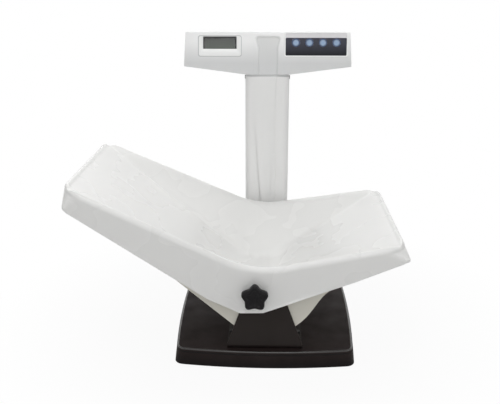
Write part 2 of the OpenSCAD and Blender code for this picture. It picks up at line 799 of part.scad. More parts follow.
// the moulding: rim, skirt and basin, hollow below, with screw bosses and a clamp boss
module seat_tray() {
    color("#ececec") difference() {
        union() {
            difference() {
                tray_block(0);
                difference() {
                    tray_block(tray_wall);
                    basin(tray_wall);
                }
            }
            at_bosses() translate([0, 0, boss_z]) cylinder(r = boss_r, h = boss_top_z - boss_z);
            translate([knob_x, front_y + eps, knob_z]) rotate([-90, 0, 0])
                cylinder(r = washer_r, h = tray_wall + skirt_gap - contact_gap);
        }
        basin(0);
        at_bosses() translate([0, 0, boss_z - 1])
            cylinder(r = screw_r + thread_gap, h = boss_bore + 1);
        translate([knob_x, front_y - 1, knob_z]) rotate([-90, 0, 0])
            cylinder(r = slot_r, h = tray_wall + skirt_gap + 2);
    }
}

// outline of the saddle, seen from the front; w draws it in, and its top lies above the basin
module saddle_outline(w) {
    hw = saddle_half_w;
    z1 = seat_z + saddle_foot_h;
    z2 = left_end_z;
    left_z = z1 + (saddle_left_reach - hw) * tan(saddle_left_deg);
    right_x = hw + saddle_right_reach;
    right_z = z1 + saddle_right_rise;
    right = bezier([[hw, z1], [hw + saddle_right_reach * 0.46, z1 + saddle_right_rise * 0.36],
        [hw + saddle_right_reach * 0.41, z1 + saddle_right_rise * 0.9], [right_x, right_z]]);
    offset(delta = -w) polygon(concat([[-hw, seat_z], [hw, seat_z]], right,
        [[right_x + 18, right_z + 6], [right_x + 18, z2], [-saddle_left_reach, z2],
        [-saddle_left_reach, left_z], [-hw, z1]]));
}

// a round piece on the knob's axis: in the saddle's front wall for s = 1, its rear wall for -1
module in_saddle_wall(s) {
    translate([knob_x, s > 0 ? saddle_front_y : saddle_rear_y, knob_z])
        rotate([-90 * s, 0, 0]) children();
}

// what the bracket's inner bends take off the saddle's lower front and rear edges
module saddle_edges() {
    r = bracket_bend_r - bracket_t + 1;
    w = 2 * saddle_half_w;
    for (s = [-1, 1]) translate([-w / 2, s > 0 ? saddle_rear_y : saddle_front_y, seat_z])
        difference() {
            translate([-1, -r, -1]) cube([w + 2, 2 * r, r + 1]);
            translate([-2, -s * r, r]) rotate([0, 90, 0]) cylinder(r = r, h = w + 4);
        }
}

// the saddle: an open-topped moulding between the uprights, cut to the tray's underside
module seat_saddle() {
    color("#dedbcd") difference() {
        union() {
            difference() {
                along_y(saddle_front_y, saddle_rear_y) saddle_outline(0);
                along_y(saddle_front_y + saddle_wall, saddle_rear_y - saddle_wall)
                    saddle_outline(saddle_wall);
            }
            translate([-saddle_half_w, saddle_front_y, seat_z])
                cube([2 * saddle_half_w, saddle_rear_y - saddle_front_y, saddle_floor_t]);
            for (s = [-1, 1]) in_saddle_wall(s)
                cylinder(r = insert_r + saddle_wall, h = insert_len);
        }
        saddle_edges();
        basin(tray_wall + slide_gap);
        for (s = [-1, 1]) in_saddle_wall(s) translate([0, 0, -1])
            cylinder(r = insert_r, h = insert_len + 2);
        at_bosses() translate([0, 0, seat_z - 1]) {
            cylinder(r = screw_r + thread_gap, h = saddle_floor_t + 2);
            cylinder(r = 2 * screw_r + slide_gap, h = 1 + saddle_sink);
        }
    }
}

saddle_screw_head = 2.4;
saddle_sink = saddle_screw_head + 0.4;
module saddle_screws() {
    color("#8d9196") at_bosses() translate([0, 0, seat_z + saddle_sink]) rotate([180, 0, 0])
        screw(screw_r, boss_bore, 2 * screw_r, saddle_screw_head);
}

// threaded insert for the clamp stud, in the saddle's front wall
module clamp_insert() {
    color("#b08d3c") in_saddle_wall(1) difference() {
        cylinder(r = insert_r, h = insert_len);
        translate([0, 0, -1]) cylinder(r = stud_r + thread_gap, h = insert_len + 2);
    }
}

// shouldered pin in the saddle's rear wall, which drops into the rear upright's slot
pin_head_t = 3;
module rear_pin() {
    reach = bracket_t + 3 * contact_gap;
    color("#8d9196") in_saddle_wall(-1) {
        cylinder(r = insert_r, h = insert_len);
        translate([0, 0, -reach]) cylinder(r = stud_r, h = reach + eps);
        translate([0, 0, -reach - pin_head_t]) cylinder(r = insert_r + 2, h = pin_head_t);
    }
}

// ---------- clamp knob ----------

// places children on the clamp's axis at the tray's front, with z towards the hand
module on_knob_axis() {
    translate([knob_x, front_y, knob_z]) rotate([90, 0, 0]) children();
}

module clamp_washer() {
    color("#a9adb2") on_knob_axis() difference() {
        cylinder(r = washer_r, h = washer_t);
        translate([0, 0, -1]) cylinder(r = stud_r + thread_gap, h = washer_t + 2);
    }
}

knob_embed = 10;
knob_waist_r = 5;
module clamp_knob() {
    hub_z = washer_t + thread_gap;
    color("#1b1b1b") on_knob_axis() difference() {
        union() {
            translate([0, 0, hub_z]) cylinder(r = knob_hub_r, h = knob_hub_len + 1);
            translate([0, 0, hub_z + knob_hub_len]) linear_extrude(knob_t)
                offset(r = -knob_waist_r) offset(delta = knob_waist_r) union() {
                    circle(knob_r - 1.6 * knob_lobe_r);
                    for (k = [0:4]) rotate([0, 0, 90 + 360 / 5 * k])
                        translate([knob_r - knob_lobe_r, 0]) circle(knob_lobe_r);
                }
        }
        translate([0, 0, hub_z - 1]) cylinder(r = stud_r + thread_gap,
            h = knob_hub_len + knob_embed + 1);
    }
}

stud_reach = tray_wall + skirt_gap + bracket_t + insert_len - 2;
module clamp_stud() {
    color("#a9adb2") on_knob_axis() translate([0, 0, -stud_reach])
        cylinder(r = stud_r, h = stud_reach + washer_t + knob_hub_len + knob_embed);
}

// ---------- display head ----------

// side view of the head: leaning face, round brow, top that falls to the back; w draws it in
module head_side(w) {
    foot_y = head_front_y - head_drop * tan(face_tilt) + w / cos(face_tilt);
    polygon(concat([[foot_y, neck_z]],
        arc([brow_y, brow_z], brow_r - w, 180 - face_tilt, 90 - top_fall),
        arc([back_y, back_z], back_r - w, 90 - top_fall, 0),
        [[head_rear_y - w, neck_z]]));
}

// front view of the head: a wide T with a short neck; w draws it in
module head_outline(w) {
    hw = head_w / 2 - w;
    tw = hw - head_side_draft;
    nw = post_w / 2 - neck_inset - w;
    r = 5 - w;
    top = head_top_z - w;
    polygon(concat([[nw, neck_z + w], [hw, head_z + w]], arc([tw - r, top - r], r, 0, 90),
        arc([r - tw, top - r], r, 90, 180), [[-hw, head_z + w], [-nw, neck_z + w]]));
}

module head_form(w) {
    intersection() {
        along_y(head_front_y - head_d, head_rear_y + head_d) head_outline(w);
        along_x(head_w + head_d) head_side(w);
    }
}

// places children on the leaning face: x to the right, y into the head, z up the face
module on_face(x, up) {
    translate([x, head_front_y, head_z]) rotate([-face_tilt, 0, 0]) translate([0, 0, up])
        children();
}

// a plate on the face: w wide, h high, from depth d0 to d1, with corner radius r
module face_plate(w, h, d0, d1, r) {
    translate([0, d1, 0]) rotate([90, 0, 0]) linear_extrude(d1 - d0) round_rect(w, h, r);
}

// a round piece square to the face, from depth d0 to d1
module face_disc(r, d0, d1) {
    translate([0, d0, 0]) rotate([-90, 0, 0]) cylinder(r = r, h = d1 - d0);
}

module at_key(k) {
    on_face(keypad_x + (k - 1.5) * key_pitch, key_up) children();
}

module at_keys() {
    for (k = [0:3]) at_key(k) children();
}

module at_case_screws() {
    end_x = head_w / 2 - head_side_draft - case_wall - case_boss_r - 1;
    for (s = [-1, 1], p = [[end_x, head_z + 10], [end_x, head_top_z - 13],
            [post_w / 2 - 8, head_z - 6]])
        translate([s * p[0], 0, p[1]]) rotate([-90, 0, 0]) children();
}

// outline of the hollow down the middle of the face, drawn out by w
module channel_outline(w) {
    hw = channel_w / 2 + w;
    tw = hw + channel_flare;
    top = channel_top + w;
    r = 6 + w;
    polygon(concat([[hw, -head_drop - channel_top], [hw, channel_top - 24]],
        arc([tw - r, top - r], r, 0, 90), arc([r - tw, top - r], r, 90, 180),
        [[-hw, channel_top - 24], [-hw, -head_drop - channel_top]]));
}

module channel(d0, d1, w) {
    on_face(channel_x, 0) translate([0, d1, 0]) rotate([90, 0, 0]) linear_extrude(d1 - d0)
        channel_outline(w);
}

display_board_w = display_plate_w + 4;
key_board_w = 3 * key_pitch + 2 * key_r + 14;
module at_standoffs() {
    for (b = [[display_x, display_board_w], [keypad_x - 2, key_board_w]], sx = [-1, 1],
            sz = [-1, 1])
        on_face(b[0] + sx * (b[1] / 2 - standoff_r - 1),
            board_up + sz * (board_h / 2 - standoff_r - 1)) children();
}

// way for the cable from the spigot into the head
module neck_mouth() {
    translate([0, post_mid_y, post_top_z - spigot_len - 1])
        linear_extrude(spigot_len + neck_h + case_wall + 2)
            round_rect(spigot_w - 2 * spigot_wall, spigot_d - 2 * spigot_wall,
                spigot_r - spigot_wall);
}

module head_front_case() {
    color("#e6e6e4") difference() {
        intersection() {
            union() {
                difference() {
                    head_form(0);
                    head_form(case_wall);
                }
                intersection() {
                    head_form(0);
                    union() {
                        channel(-channel_d, channel_d + case_wall, case_wall);
                        at_case_screws() cylinder(r = case_boss_r, h = parting_y);
                        at_standoffs() face_disc(standoff_r, 0, board_depth);
                    }
                }
            }
            translate([-head_w, 0, neck_z]) cube([2 * head_w, parting_y, head_h + head_drop]);
        }
        channel(-head_d, channel_d, 0);
        neck_mouth();
        on_face(display_x, display_up) {
            face_plate(display_plate_w, display_plate_h, -brow_r, display_inset, 4);
            translate([0, 0, window_up]) face_plate(window_w, window_h, -1, case_wall + 1, 1);
        }
        on_face(keypad_x, keypad_mid_up)
            face_plate(keypad_w + 2 * keypad_frame_w, keypad_total_h + 2 * keypad_frame_w,
                -brow_r, keypad_inset, 4);
        at_keys() face_disc(key_r + key_gap, -1, case_wall + 1);
        at_case_screws() translate([0, 0, parting_y - 8])
            cylinder(r = case_screw_r + thread_gap, h = 9);
    }
}

module head_rear_case() {
    color("#e2e2e0") difference() {
        union() {
            intersection() {
                union() {
                    difference() {
                        head_form(0);
                        head_form(case_wall);
                    }
                    intersection() {
                        head_form(0);
                        at_case_screws() cylinder(r = case_boss_r, h = head_rear_y);
                    }
                }
                translate([-head_w, parting_y, neck_z])
                    cube([2 * head_w, head_d, head_h + head_drop]);
            }
            // neck, and the spigot that fits inside the post
            translate([0, post_mid_y, post_top_z]) linear_extrude(neck_h)
                round_rect(post_w - 2 * neck_inset, post_d - 2 * neck_inset,
                    post_corner_r - neck_inset);
            translate([0, post_mid_y, post_top_z - spigot_len]) linear_extrude(spigot_len + eps)
                round_rect(spigot_w, spigot_d, spigot_r);
        }
        neck_mouth();
        at_case_screws() {
            translate([0, 0, parting_y - 1]) cylinder(r = case_screw_r + thread_gap, h = head_d);
            translate([0, 0, parting_y + 5]) cylinder(r = 2 * case_screw_r + 0.5, h = head_d);
        }
        // mouth of the battery box, and the seat of its door
        translate([0, head_rear_y + 1, battery_z]) rotate([90, 0, 0]) {
            linear_extrude(1 + 2 * case_wall) square([battery_box_w + 2 * contact_gap,
                battery_box_h + 2 * contact_gap], center = true);
            linear_extrude(1 + door_t + contact_gap)
                square([door_w + 2 * slide_gap, door_h + 2 * slide_gap], center = true);
        }
        translate([-post_w, post_mid_y, neck_screw_z]) rotate([0, 90, 0])
            cylinder(r = screw_r + thread_gap, h = 2 * post_w);
        at_socket() cylinder(r = socket_r + thread_gap, h = 4 * case_wall, center = true);
    }
}

neck_screw_len = 8;
module neck_screws() {
    color("#77797c") for (s = [-1, 1])
        translate([s * post_w / 2, post_mid_y, neck_screw_z]) rotate([0, s * 90, 0])
            screw(screw_r, neck_screw_len, screw_r + 1.5, 1.6);
}

module case_screws() {
    color("#8d9196") at_case_screws() translate([0, 0, parting_y + 5])
        screw(case_screw_r, 12, 2 * case_screw_r, 2);
}

module display_plate() {
    color("#e9eaea") on_face(display_x, display_up) difference() {
        face_plate(display_plate_w - 2 * contact_gap, display_plate_h - 2 * contact_gap,
            0, display_inset, 4 - contact_gap);
        translate([0, 0, window_up]) face_plate(window_w, window_h, -1, display_inset + 1, 1);
    }
}

module display_window() {
    color("#39443f", 0.6) on_face(display_x, display_up + window_up)
        face_plate(window_w + 4, window_h + 4, case_wall, case_wall + window_t, 1);
}

module lcd_module() {
    z0 = case_wall + window_t;
    color("#59655b") on_face(display_x, display_up + window_up) {
        face_plate(window_w + 6, window_h + 5, z0, z0 + lcd_t, 1);
        for (sx = [-1, 1]) translate([sx * window_w / 2, 0, 0])
            face_plate(3, window_h - 4, z0 + lcd_t - eps, board_depth, 1);
    }
}

module keypad_frame() {
    color("#f2f2f2") on_face(keypad_x, keypad_mid_up) difference() {
        face_plate(keypad_w + 2 * (keypad_frame_w - contact_gap),
            keypad_total_h + 2 * (keypad_frame_w - contact_gap),
            -keypad_frame_h, keypad_inset, 4 - contact_gap);
        face_plate(keypad_w, keypad_total_h, -keypad_frame_h - 1, keypad_inset + 1, 2);
    }
}

module keypad_panel() {
    w = keypad_w - 2 * contact_gap;
    color("#41424a") difference() {
        on_face(keypad_x, keypad_up + keypad_h / 2)
            face_plate(w, keypad_h - 2 * contact_gap, -panel_proud, keypad_inset, 2);
        at_keys() face_disc(key_r + key_gap, -1, keypad_inset + 1);
    }
}

module keypad_strip() {
    color("#dddadd") on_face(keypad_x, keypad_up + keypad_h + strip_h / 2)
        face_plate(keypad_w - 2 * contact_gap, strip_h - 2 * contact_gap, -panel_proud,
            keypad_inset, 2);
}

module key(k) {
    z0 = case_wall + contact_gap;
    color("#8a9fb8") at_key(k) {
        face_disc(key_r, -panel_proud - key_proud, z0 + eps);
        face_disc(key_flange_r, z0, z0 + key_flange_t);
        face_disc(key_stem_r, z0 + key_flange_t - eps, key_stem_end);
    }
}
module key_1() { key(0); }
module key_2() { key(1); }
module key_3() { key(2); }
module key_4() { key(3); }

module key_switches() {
    color("#c0c2c4") at_keys() {
        face_plate(switch_w, switch_w, switch_depth, board_depth, 0.5);
        face_disc(plunger_r, switch_depth - plunger_len, switch_depth + eps);
    }
}

plug_w = 12;
plug_h = 8;
plug_d = 6;
plug_x = display_x + display_board_w / 2 - plug_w / 2 - 2;
plug_up = board_up - board_h / 2 + plug_h / 2 + 2;
module display_board() {
    z1 = board_depth + board_t;
    color("#2e6b3a") {
        on_face(display_x, board_up)
            face_plate(display_board_w, board_h, board_depth, z1, 1);
        on_face(plug_x, plug_up) face_plate(plug_w, plug_h, z1 - eps, z1 + plug_d, 0.5);
    }
}

module key_board() {
    color("#2e6b3a") on_face(keypad_x - 2, board_up)
        face_plate(key_board_w, board_h, board_depth, board_depth + board_t, 1);
}

// flat ribbon that joins the two boards behind the hollow
ribbon_t = 0.8;
ribbon_h = 16;
module board_link() {
    left = display_x + display_board_w / 2 - 8;
    right = keypad_x - 2 - key_board_w / 2 + 8;
    z0 = board_depth + board_t;
    color("#b9b9b4") on_face((left + right) / 2, board_up) {
        face_plate(right - left, ribbon_h, z0, z0 + ribbon_t, 0.5);
        for (s = [-1, 1]) translate([s * (right - left - 6) / 2, 0, 0])
            face_plate(6, ribbon_h + 2, z0 + ribbon_t - eps, z0 + ribbon_t + 3, 0.5);
    }
}

// ---------- power ----------

// places children at the battery box's rear face, with z into the head
module at_battery_box() {
    translate([0, box_rear_y, battery_z]) rotate([90, 0, 0]) children();
}

module battery_box() {
    color("#3a3a3a") at_battery_box() difference() {
        linear_extrude(battery_box_d) square([battery_box_w, battery_box_h], center = true);
        translate([0, 0, -1]) linear_extrude(battery_box_d - battery_wall + 1)
            square([battery_box_w - 2 * battery_wall, battery_box_h - 2 * battery_wall],
                center = true);
    }
}

row_z = battery_box_h / 4 - battery_wall / 2 + 0.1;
module at_batteries() {
    for (sx = [-1, 1], sz = [-1, 1])
        translate([sx * (battery_len + contact_mid_t) / 2, box_rear_y - 0.5 - battery_r,
            battery_z + sz * row_z]) rotate([0, 90, 0]) children();
}

contact_mid_t = 3;
module batteries() {
    color("#c9a13b") at_batteries() {
        cylinder(r = battery_r, h = battery_len - 2, center = true);
        cylinder(r = 2.7, h = battery_len, center = true);
    }
}

// a plate and a stub at each end, and a double contact in the middle
module battery_contacts() {
    plate = 0.8;
    inner = battery_box_w / 2 - battery_wall;
    end = battery_len + contact_mid_t / 2;
    color("#c8cacc") for (sz = [-1, 1])
        translate([0, box_rear_y - 0.5 - battery_r, battery_z + sz * row_z]) {
            for (sx = [-1, 1]) {
                translate([sx * (inner - plate / 2), 0, 0])
                    cube([plate, battery_r, 1.4 * battery_r], center = true);
                translate([sx * (inner + end - plate) / 2, 0, 0]) rotate([0, 90, 0])
                    cylinder(r = 3, h = inner - plate - end + eps, center = true);
            }
            cube([contact_mid_t, battery_r, 1.4 * battery_r], center = true);
        }
}

module battery_door() {
    color("#dfdfdd") translate([0, head_rear_y, battery_z]) rotate([90, 0, 0])
        linear_extrude(door_t) square([door_w, door_h], center = true);
}

// socket for a mains adaptor, in the back of the head
socket_r = 4.5;
socket_x = battery_box_w / 2 + 22;
module at_socket() {
    translate([socket_x, head_rear_y, head_z + 22]) rotate([90, 0, 0]) children();
}

module power_socket() {
    color("#1c1c1c") at_socket() {
        difference() {
            translate([0, 0, -1]) cylinder(r = socket_r, h = 12);
            translate([0, 0, -2]) cylinder(r = 2.8, h = 11);
        }
        cylinder(r = 1, h = 10);
        translate([0, 0, case_wall]) linear_extrude(9.5 - case_wall) difference() {
            square(2 * socket_r + 5, center = true);
            circle(socket_r - eps);
        }
    }
}

base_pan();
rubber_feet();
load_cells();
cell_screws();
summing_board();
cell_wires();
signal_cable();
post_foot();
post_foot_screws();
post();
platform_cover();
platform_plate();
load_buttons();
seat_bracket();
bracket_screws();
seat_tray();
seat_saddle();
saddle_screws();
clamp_insert();
rear_pin();
clamp_washer();
clamp_knob();
clamp_stud();
head_front_case();
head_rear_case();
neck_screws();
case_screws();
display_plate();
display_window();
lcd_module();
keypad_frame();
keypad_panel();
keypad_strip();
key_1();
key_2();
key_3();
key_4();
key_switches();
display_board();
key_board();
board_link();
battery_box();
batteries();
battery_contacts();
battery_door();
power_socket();
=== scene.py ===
# %% [markdown]
# # A digital baby scale
# The scale has a white moulded tray on an ivory saddle, a black weighing platform with a clamp
# knob, and a white post that carries a T shaped display head. The frame of CAD parts gives every
# piece its place and size. This lesson dresses that frame: it makes the finishes first, then the
# moulded shapes whose soft edges a plain solid can't show, and last the light and the camera.

# %% Open the frame
import math

import bmesh
import bpy
import numpy as np
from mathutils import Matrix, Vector


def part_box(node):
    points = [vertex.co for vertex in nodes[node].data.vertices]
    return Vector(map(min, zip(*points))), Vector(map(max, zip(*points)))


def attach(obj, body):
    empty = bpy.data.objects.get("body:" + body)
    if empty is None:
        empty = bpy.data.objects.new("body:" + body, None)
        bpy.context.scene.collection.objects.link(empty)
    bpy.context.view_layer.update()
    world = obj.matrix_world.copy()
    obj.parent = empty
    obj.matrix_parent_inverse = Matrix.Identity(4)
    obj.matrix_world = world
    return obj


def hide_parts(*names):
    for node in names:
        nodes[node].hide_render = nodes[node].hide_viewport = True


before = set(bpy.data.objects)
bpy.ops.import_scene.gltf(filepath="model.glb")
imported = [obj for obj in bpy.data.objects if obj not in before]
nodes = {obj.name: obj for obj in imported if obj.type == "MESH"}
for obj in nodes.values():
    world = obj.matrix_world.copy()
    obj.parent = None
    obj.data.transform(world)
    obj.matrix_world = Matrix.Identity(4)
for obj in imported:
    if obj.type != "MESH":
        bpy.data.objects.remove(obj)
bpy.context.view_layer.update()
MM = 0.001


# %% [markdown]
# ## Colours and shader nodes
# A colour is easiest to judge as the hex code of a paint chip, but a shader wants linear light.
# One function turns one into the other. A second one adds a shader node with its settings and
# its links, so that a finish reads as a short list of what lies on what.

# %% Two helpers for the finishes
def linear(hex_code):
    """The linear colour that a shader socket takes, from an sRGB hex code."""
    number = int(hex_code.lstrip("#"), 16)
    channels = [(number >> shift & 255) / 255 for shift in (16, 8, 0)]
    return [c / 12.92 if c <= 0.04045 else ((c + 0.055) / 1.055) ** 2.4 for c in channels] + [1.0]


def add(tree, kind, sockets=None, **settings):
    """One shader node with its settings, and a value or a link on each named input socket."""
    made = tree.nodes.new(kind)
    for name, value in settings.items():
        setattr(made, name, value)
    for name, value in (sockets or {}).items():
        if isinstance(value, bpy.types.NodeSocket):
            tree.links.new(value, made.inputs[name])
        else:
            made.inputs[name].default_value = value
    return made


print("white paint as linear light:", [round(c, 3) for c in linear("#EDEDEC")])


# %% [markdown]
# ## A moulded or coated surface
# Nothing made in a mould or a spray booth is one flat colour. Its tone drifts a little over a
# few centimetres, its gloss varies where hands and cloths have rubbed it, and the mould or the
# paint leaves a fine grain. One recipe holds all three. Each finish below gives it the two tones,
# the sizes of the drift and of the grain in millimetres, and the span of its roughness.

# %% The recipe of a plain finish
DRIFT_DETAIL = 2.0
GRAIN_DETAIL = 3.0


def surface(name, tones, rough, drift_mm, grain_mm, grain_deep_mm, ior=1.5, metal=0.0, coat=0.0):
    """A material with drifting tone, uneven gloss and a fine grain, all sized in millimetres."""
    material = bpy.data.materials.new(name)
    material.use_nodes = True
    tree = material.node_tree
    shader = tree.nodes["Principled BSDF"]
    place = add(tree, "ShaderNodeTexCoord").outputs["Object"]
    drift = add(tree, "ShaderNodeTexNoise", {"Vector": place, "Scale": 1 / (drift_mm * MM),
                                             "Detail": DRIFT_DETAIL}).outputs["Fac"]
    grain = add(tree, "ShaderNodeTexNoise", {"Vector": place, "Scale": 1 / (grain_mm * MM),
                                             "Detail": GRAIN_DETAIL}).outputs["Fac"]
    tone = add(tree, "ShaderNodeMix", {"Factor": drift, "A": linear(tones[0]),
                                       "B": linear(tones[1])}, data_type="RGBA")
    tree.links.new(tone.outputs["Result"], shader.inputs["Base Color"])
    gloss = add(tree, "ShaderNodeMapRange", {"Value": drift, "From Min": 0.3, "From Max": 0.7,
                                             "To Min": rough[0], "To Max": rough[1]})
    tree.links.new(gloss.outputs["Result"], shader.inputs["Roughness"])
    bump = add(tree, "ShaderNodeBump", {"Height": grain, "Distance": grain_deep_mm * MM,
                                        "Strength": 1.0})
    tree.links.new(bump.outputs["Normal"], shader.inputs["Normal"])
    if not metal:
        shader.inputs["IOR"].default_value = ior
    shader.inputs["Metallic"].default_value = metal
    shader.inputs["Coat Weight"].default_value = coat
    return material


def paint_shade_along(material, axis, start_mm, end_mm, tone):
    """Paints shade: the tone of a finish turns darker along an axis, between two distances."""
    tree = material.node_tree
    shader = tree.nodes["Principled BSDF"]
    base = shader.inputs["Base Color"].links[0].from_socket
    place = add(tree, "ShaderNodeTexCoord").outputs["Object"]
    far = add(tree, "ShaderNodeVectorMath", {0: place, 1: axis}, operation="DOT_PRODUCT")
    ramp = add(tree, "ShaderNodeMapRange", {"Value": far.outputs["Value"],
                                            "From Min": start_mm * MM, "From Max": end_mm * MM})
    both = add(tree, "ShaderNodeMix", {"Factor": ramp.outputs["Result"], "A": base,
                                       "B": linear(tone)}, data_type="RGBA")
    tree.links.new(both.outputs["Result"], shader.inputs["Base Color"])


print("recipe ready")


# %% [markdown]
# ## White and ivory plastics
# The tray is glossy ABS from a polished mould, so it mirrors soft light with a faint waviness.
# The saddle below it is the same plastic in ivory, less polished. The head has the satin grain of
# a spark eroded mould, and the post is aluminium under satin powder coat. IOR 1.54 is that of ABS,
# and the grain is 0.6 to 1 mm wide. The head's face gets greyer downwards and in its hollow, which
# is painted shade: the finish carries the shade of the light there, fixed to the head.

# %% The pale finishes
tray_abs = surface("glossy_white_abs", ("#F1F1EF", "#F0F0EE"), (0.26, 0.29), 90, 0.9, 0.002,
                   ior=1.54)
saddle_abs = surface("satin_ivory_abs", ("#E6E3D8", "#DFDCD0"), (0.38, 0.46), 60, 0.8, 0.008,
                     ior=1.54)
case_abs = surface("satin_white_abs", ("#FDFDFD", "#F8F9F8"), (0.36, 0.44), 50, 0.7, 0.008,
                   ior=1.54)
post_paint = surface("white_powder_coated_aluminium", ("#F4F4F3", "#EFEFEE"), (0.40, 0.48), 70,
                     1.0, 0.01, ior=1.52)
plate_abs = surface("white_polycarbonate_bezel", ("#FBFCFB", "#F7F8F7"), (0.22, 0.28), 30, 0.6,
                    0.004, ior=1.58)
frame_abs = surface("gloss_white_keypad_frame", ("#FFFFFF", "#FCFCFC"), (0.16, 0.22), 30, 0.6,
                    0.003, ior=1.54)
strip_film = surface("pale_polyester_film", ("#E9E7E9", "#E2E0E2"), (0.42, 0.5), 14, 0.5, 0.004,
                     ior=1.57)
FACE_TILT = math.radians(10)
HEAD_FRONT_Y, HEAD_Z = 149.0, 513.2
INTO_FACE = (0, math.cos(FACE_TILT), -math.sin(FACE_TILT))
FACE_AT = HEAD_FRONT_Y * INTO_FACE[1] + HEAD_Z * INTO_FACE[2]
BROW_Z, CHIN_Z = 566, 520
# Painted shade: a copy of the head's finish that gets greyer deeper into the hollow.
hollow_shaded_abs = surface("satin_white_abs_painted_hollow_shade", ("#FDFDFD", "#F8F9F8"), (0.36, 0.44), 50, 0.7,
                     0.008, ior=1.54)
paint_shade_along(hollow_shaded_abs, INTO_FACE, FACE_AT + 0.3, FACE_AT + 3.6, "#E2E3E2")
# Painted shade: the head's face gets greyer from the brow down to the chin.
for material in (case_abs, hollow_shaded_abs):
    paint_shade_along(material, (0, 0, 1), BROW_Z, CHIN_Z, "#D9DADA")
print("pale finishes:", 8)

# %% [markdown]
# ## Black finishes
# The platform's cover is black ABS with a pebbled grain: shallow bumps about 1.2 mm across that
# break up the light. The bracket is sheet steel under black powder coat, whose orange peel is
# 1.5 mm wide. The knob is glass filled nylon, close to black. The small screws that show are
# blackened in a hot salt bath, and the platform's bead is the cover's plastic, polished.
# In a white studio even a dull black mirrors white, so the specular level is held down until the
# blacks are as deep as in the photograph.

# %% The black finishes
DULL = 0.1
cover_abs = surface("pebbled_black_abs", ("#292120", "#221B1A"), (0.55, 0.7), 40, 1.3, 0.07,
                    ior=1.54)
bracket_paint = surface("black_powder_coated_steel", ("#302B29", "#292422"), (0.36, 0.48), 35,
                        1.5, 0.02, ior=1.52)
knob_nylon = surface("black_glass_filled_nylon", ("#1D1C1D", "#151416"), (0.25, 0.38), 12, 0.6,
                     0.012, ior=1.53)
pan_steel = surface("grey_painted_steel_pan", ("#35363A", "#2D2E31"), (0.5, 0.6), 50, 1.5, 0.02)
plate_steel = surface("dark_painted_steel_plate", ("#46474A", "#3D3E41"), (0.45, 0.6), 50, 1.5,
                      0.02)
foot_rubber = surface("black_nitrile_rubber", ("#232323", "#1B1B1B"), (0.7, 0.85), 15, 0.8,
                      0.03, ior=1.52)
cable_vinyl = surface("black_vinyl_cable_jacket", ("#2A2A2A", "#222222"), (0.45, 0.6), 12, 0.5,
                      0.01, ior=1.53)
panel_film = surface("dark_polyester_film", ("#474853", "#40414B"), (0.3, 0.38), 12, 0.5, 0.004,
                     ior=1.57)
edge_abs = surface("polished_black_abs", ("#2B2725", "#24201F"), (0.18, 0.26), 40, 1.0, 0.008,
                   ior=1.54)
black_oxide = surface("black_oxide_steel", ("#1E1E20", "#161618"), (0.35, 0.5), 6, 0.5, 0.01)
box_abs = surface("matt_black_abs", ("#2A2A2A", "#222222"), (0.5, 0.62), 25, 1.0, 0.02,
                  ior=1.54)
# Painted shade: the cover's sides get darker towards the floor.
paint_shade_along(cover_abs, (0, 0, 1), 30, 8, "#100D0D")
# Painted shade: the keypad's film gets darker towards its bottom.
paint_shade_along(panel_film, (0, 0, 1), 562, 536, "#191A1E")
for material in (cover_abs, bracket_paint, knob_nylon, panel_film, foot_rubber):
    material.node_tree.nodes["Principled BSDF"].inputs["Specular IOR Level"].default_value = DULL
print("black finishes:", 11)

# %% [markdown]
# ## Metals and small parts inside
# Milled aluminium, zinc plated steel and turned brass keep the default IOR and full metalness.
# Their grain is the tool's mark, 0.2 to 0.4 mm apart, and is drawn about twice as coarse here,
# because a finer one would vanish between the pixels. The board is glass fibre under green
# solder mask, and the cells wear a plain foil sleeve.

# %% The metals and the insides
cell_metal = surface("milled_aluminium", ("#C6C8CA", "#B9BBBE"), (0.28, 0.4), 20, 0.5, 0.01,
                     metal=1.0)
screw_steel = surface("zinc_plated_steel", ("#A9ACB1", "#9A9DA3"), (0.25, 0.4), 6, 0.5, 0.01,
                      metal=1.0)
insert_brass = surface("turned_brass", ("#C9AE6C", "#BC9F5B"), (0.25, 0.38), 6, 0.5, 0.01,
                       metal=1.0)
switch_steel = surface("stainless_dome_switch", ("#C9CACC", "#BDBEC1"), (0.2, 0.3), 5, 0.5,
                       0.004, metal=1.0)
board_mask = surface("green_solder_mask", ("#1F6B3A", "#19592F"), (0.3, 0.42), 8, 0.6, 0.01,
                     ior=1.55)
wire_vinyl = surface("grey_vinyl_wire", ("#AEAFAC", "#A3A49F"), (0.45, 0.6), 8, 0.5, 0.008,
                     ior=1.53)
cell_sleeve = surface("gold_foil_battery_sleeve", ("#B08A45", "#9F7B3B"), (0.3, 0.42), 15, 0.7,
                      0.006, metal=1.0)
print("inside finishes:", 7)

# %% [markdown]
# ## The display
# A reflective LCD is a grey green sheet of glass over a matt mirror. Switched off it is dark grey
# green, and darker near its top edge, which is painted shadow of the bezel over the recessed
# window. The window is clear polycarbonate.

# %% The display's two finishes
lcd_glass = surface("switched_off_lcd", ("#3C4739", "#353F32"), (0.3, 0.4), 20, 0.8, 0.004,
                    ior=1.52)
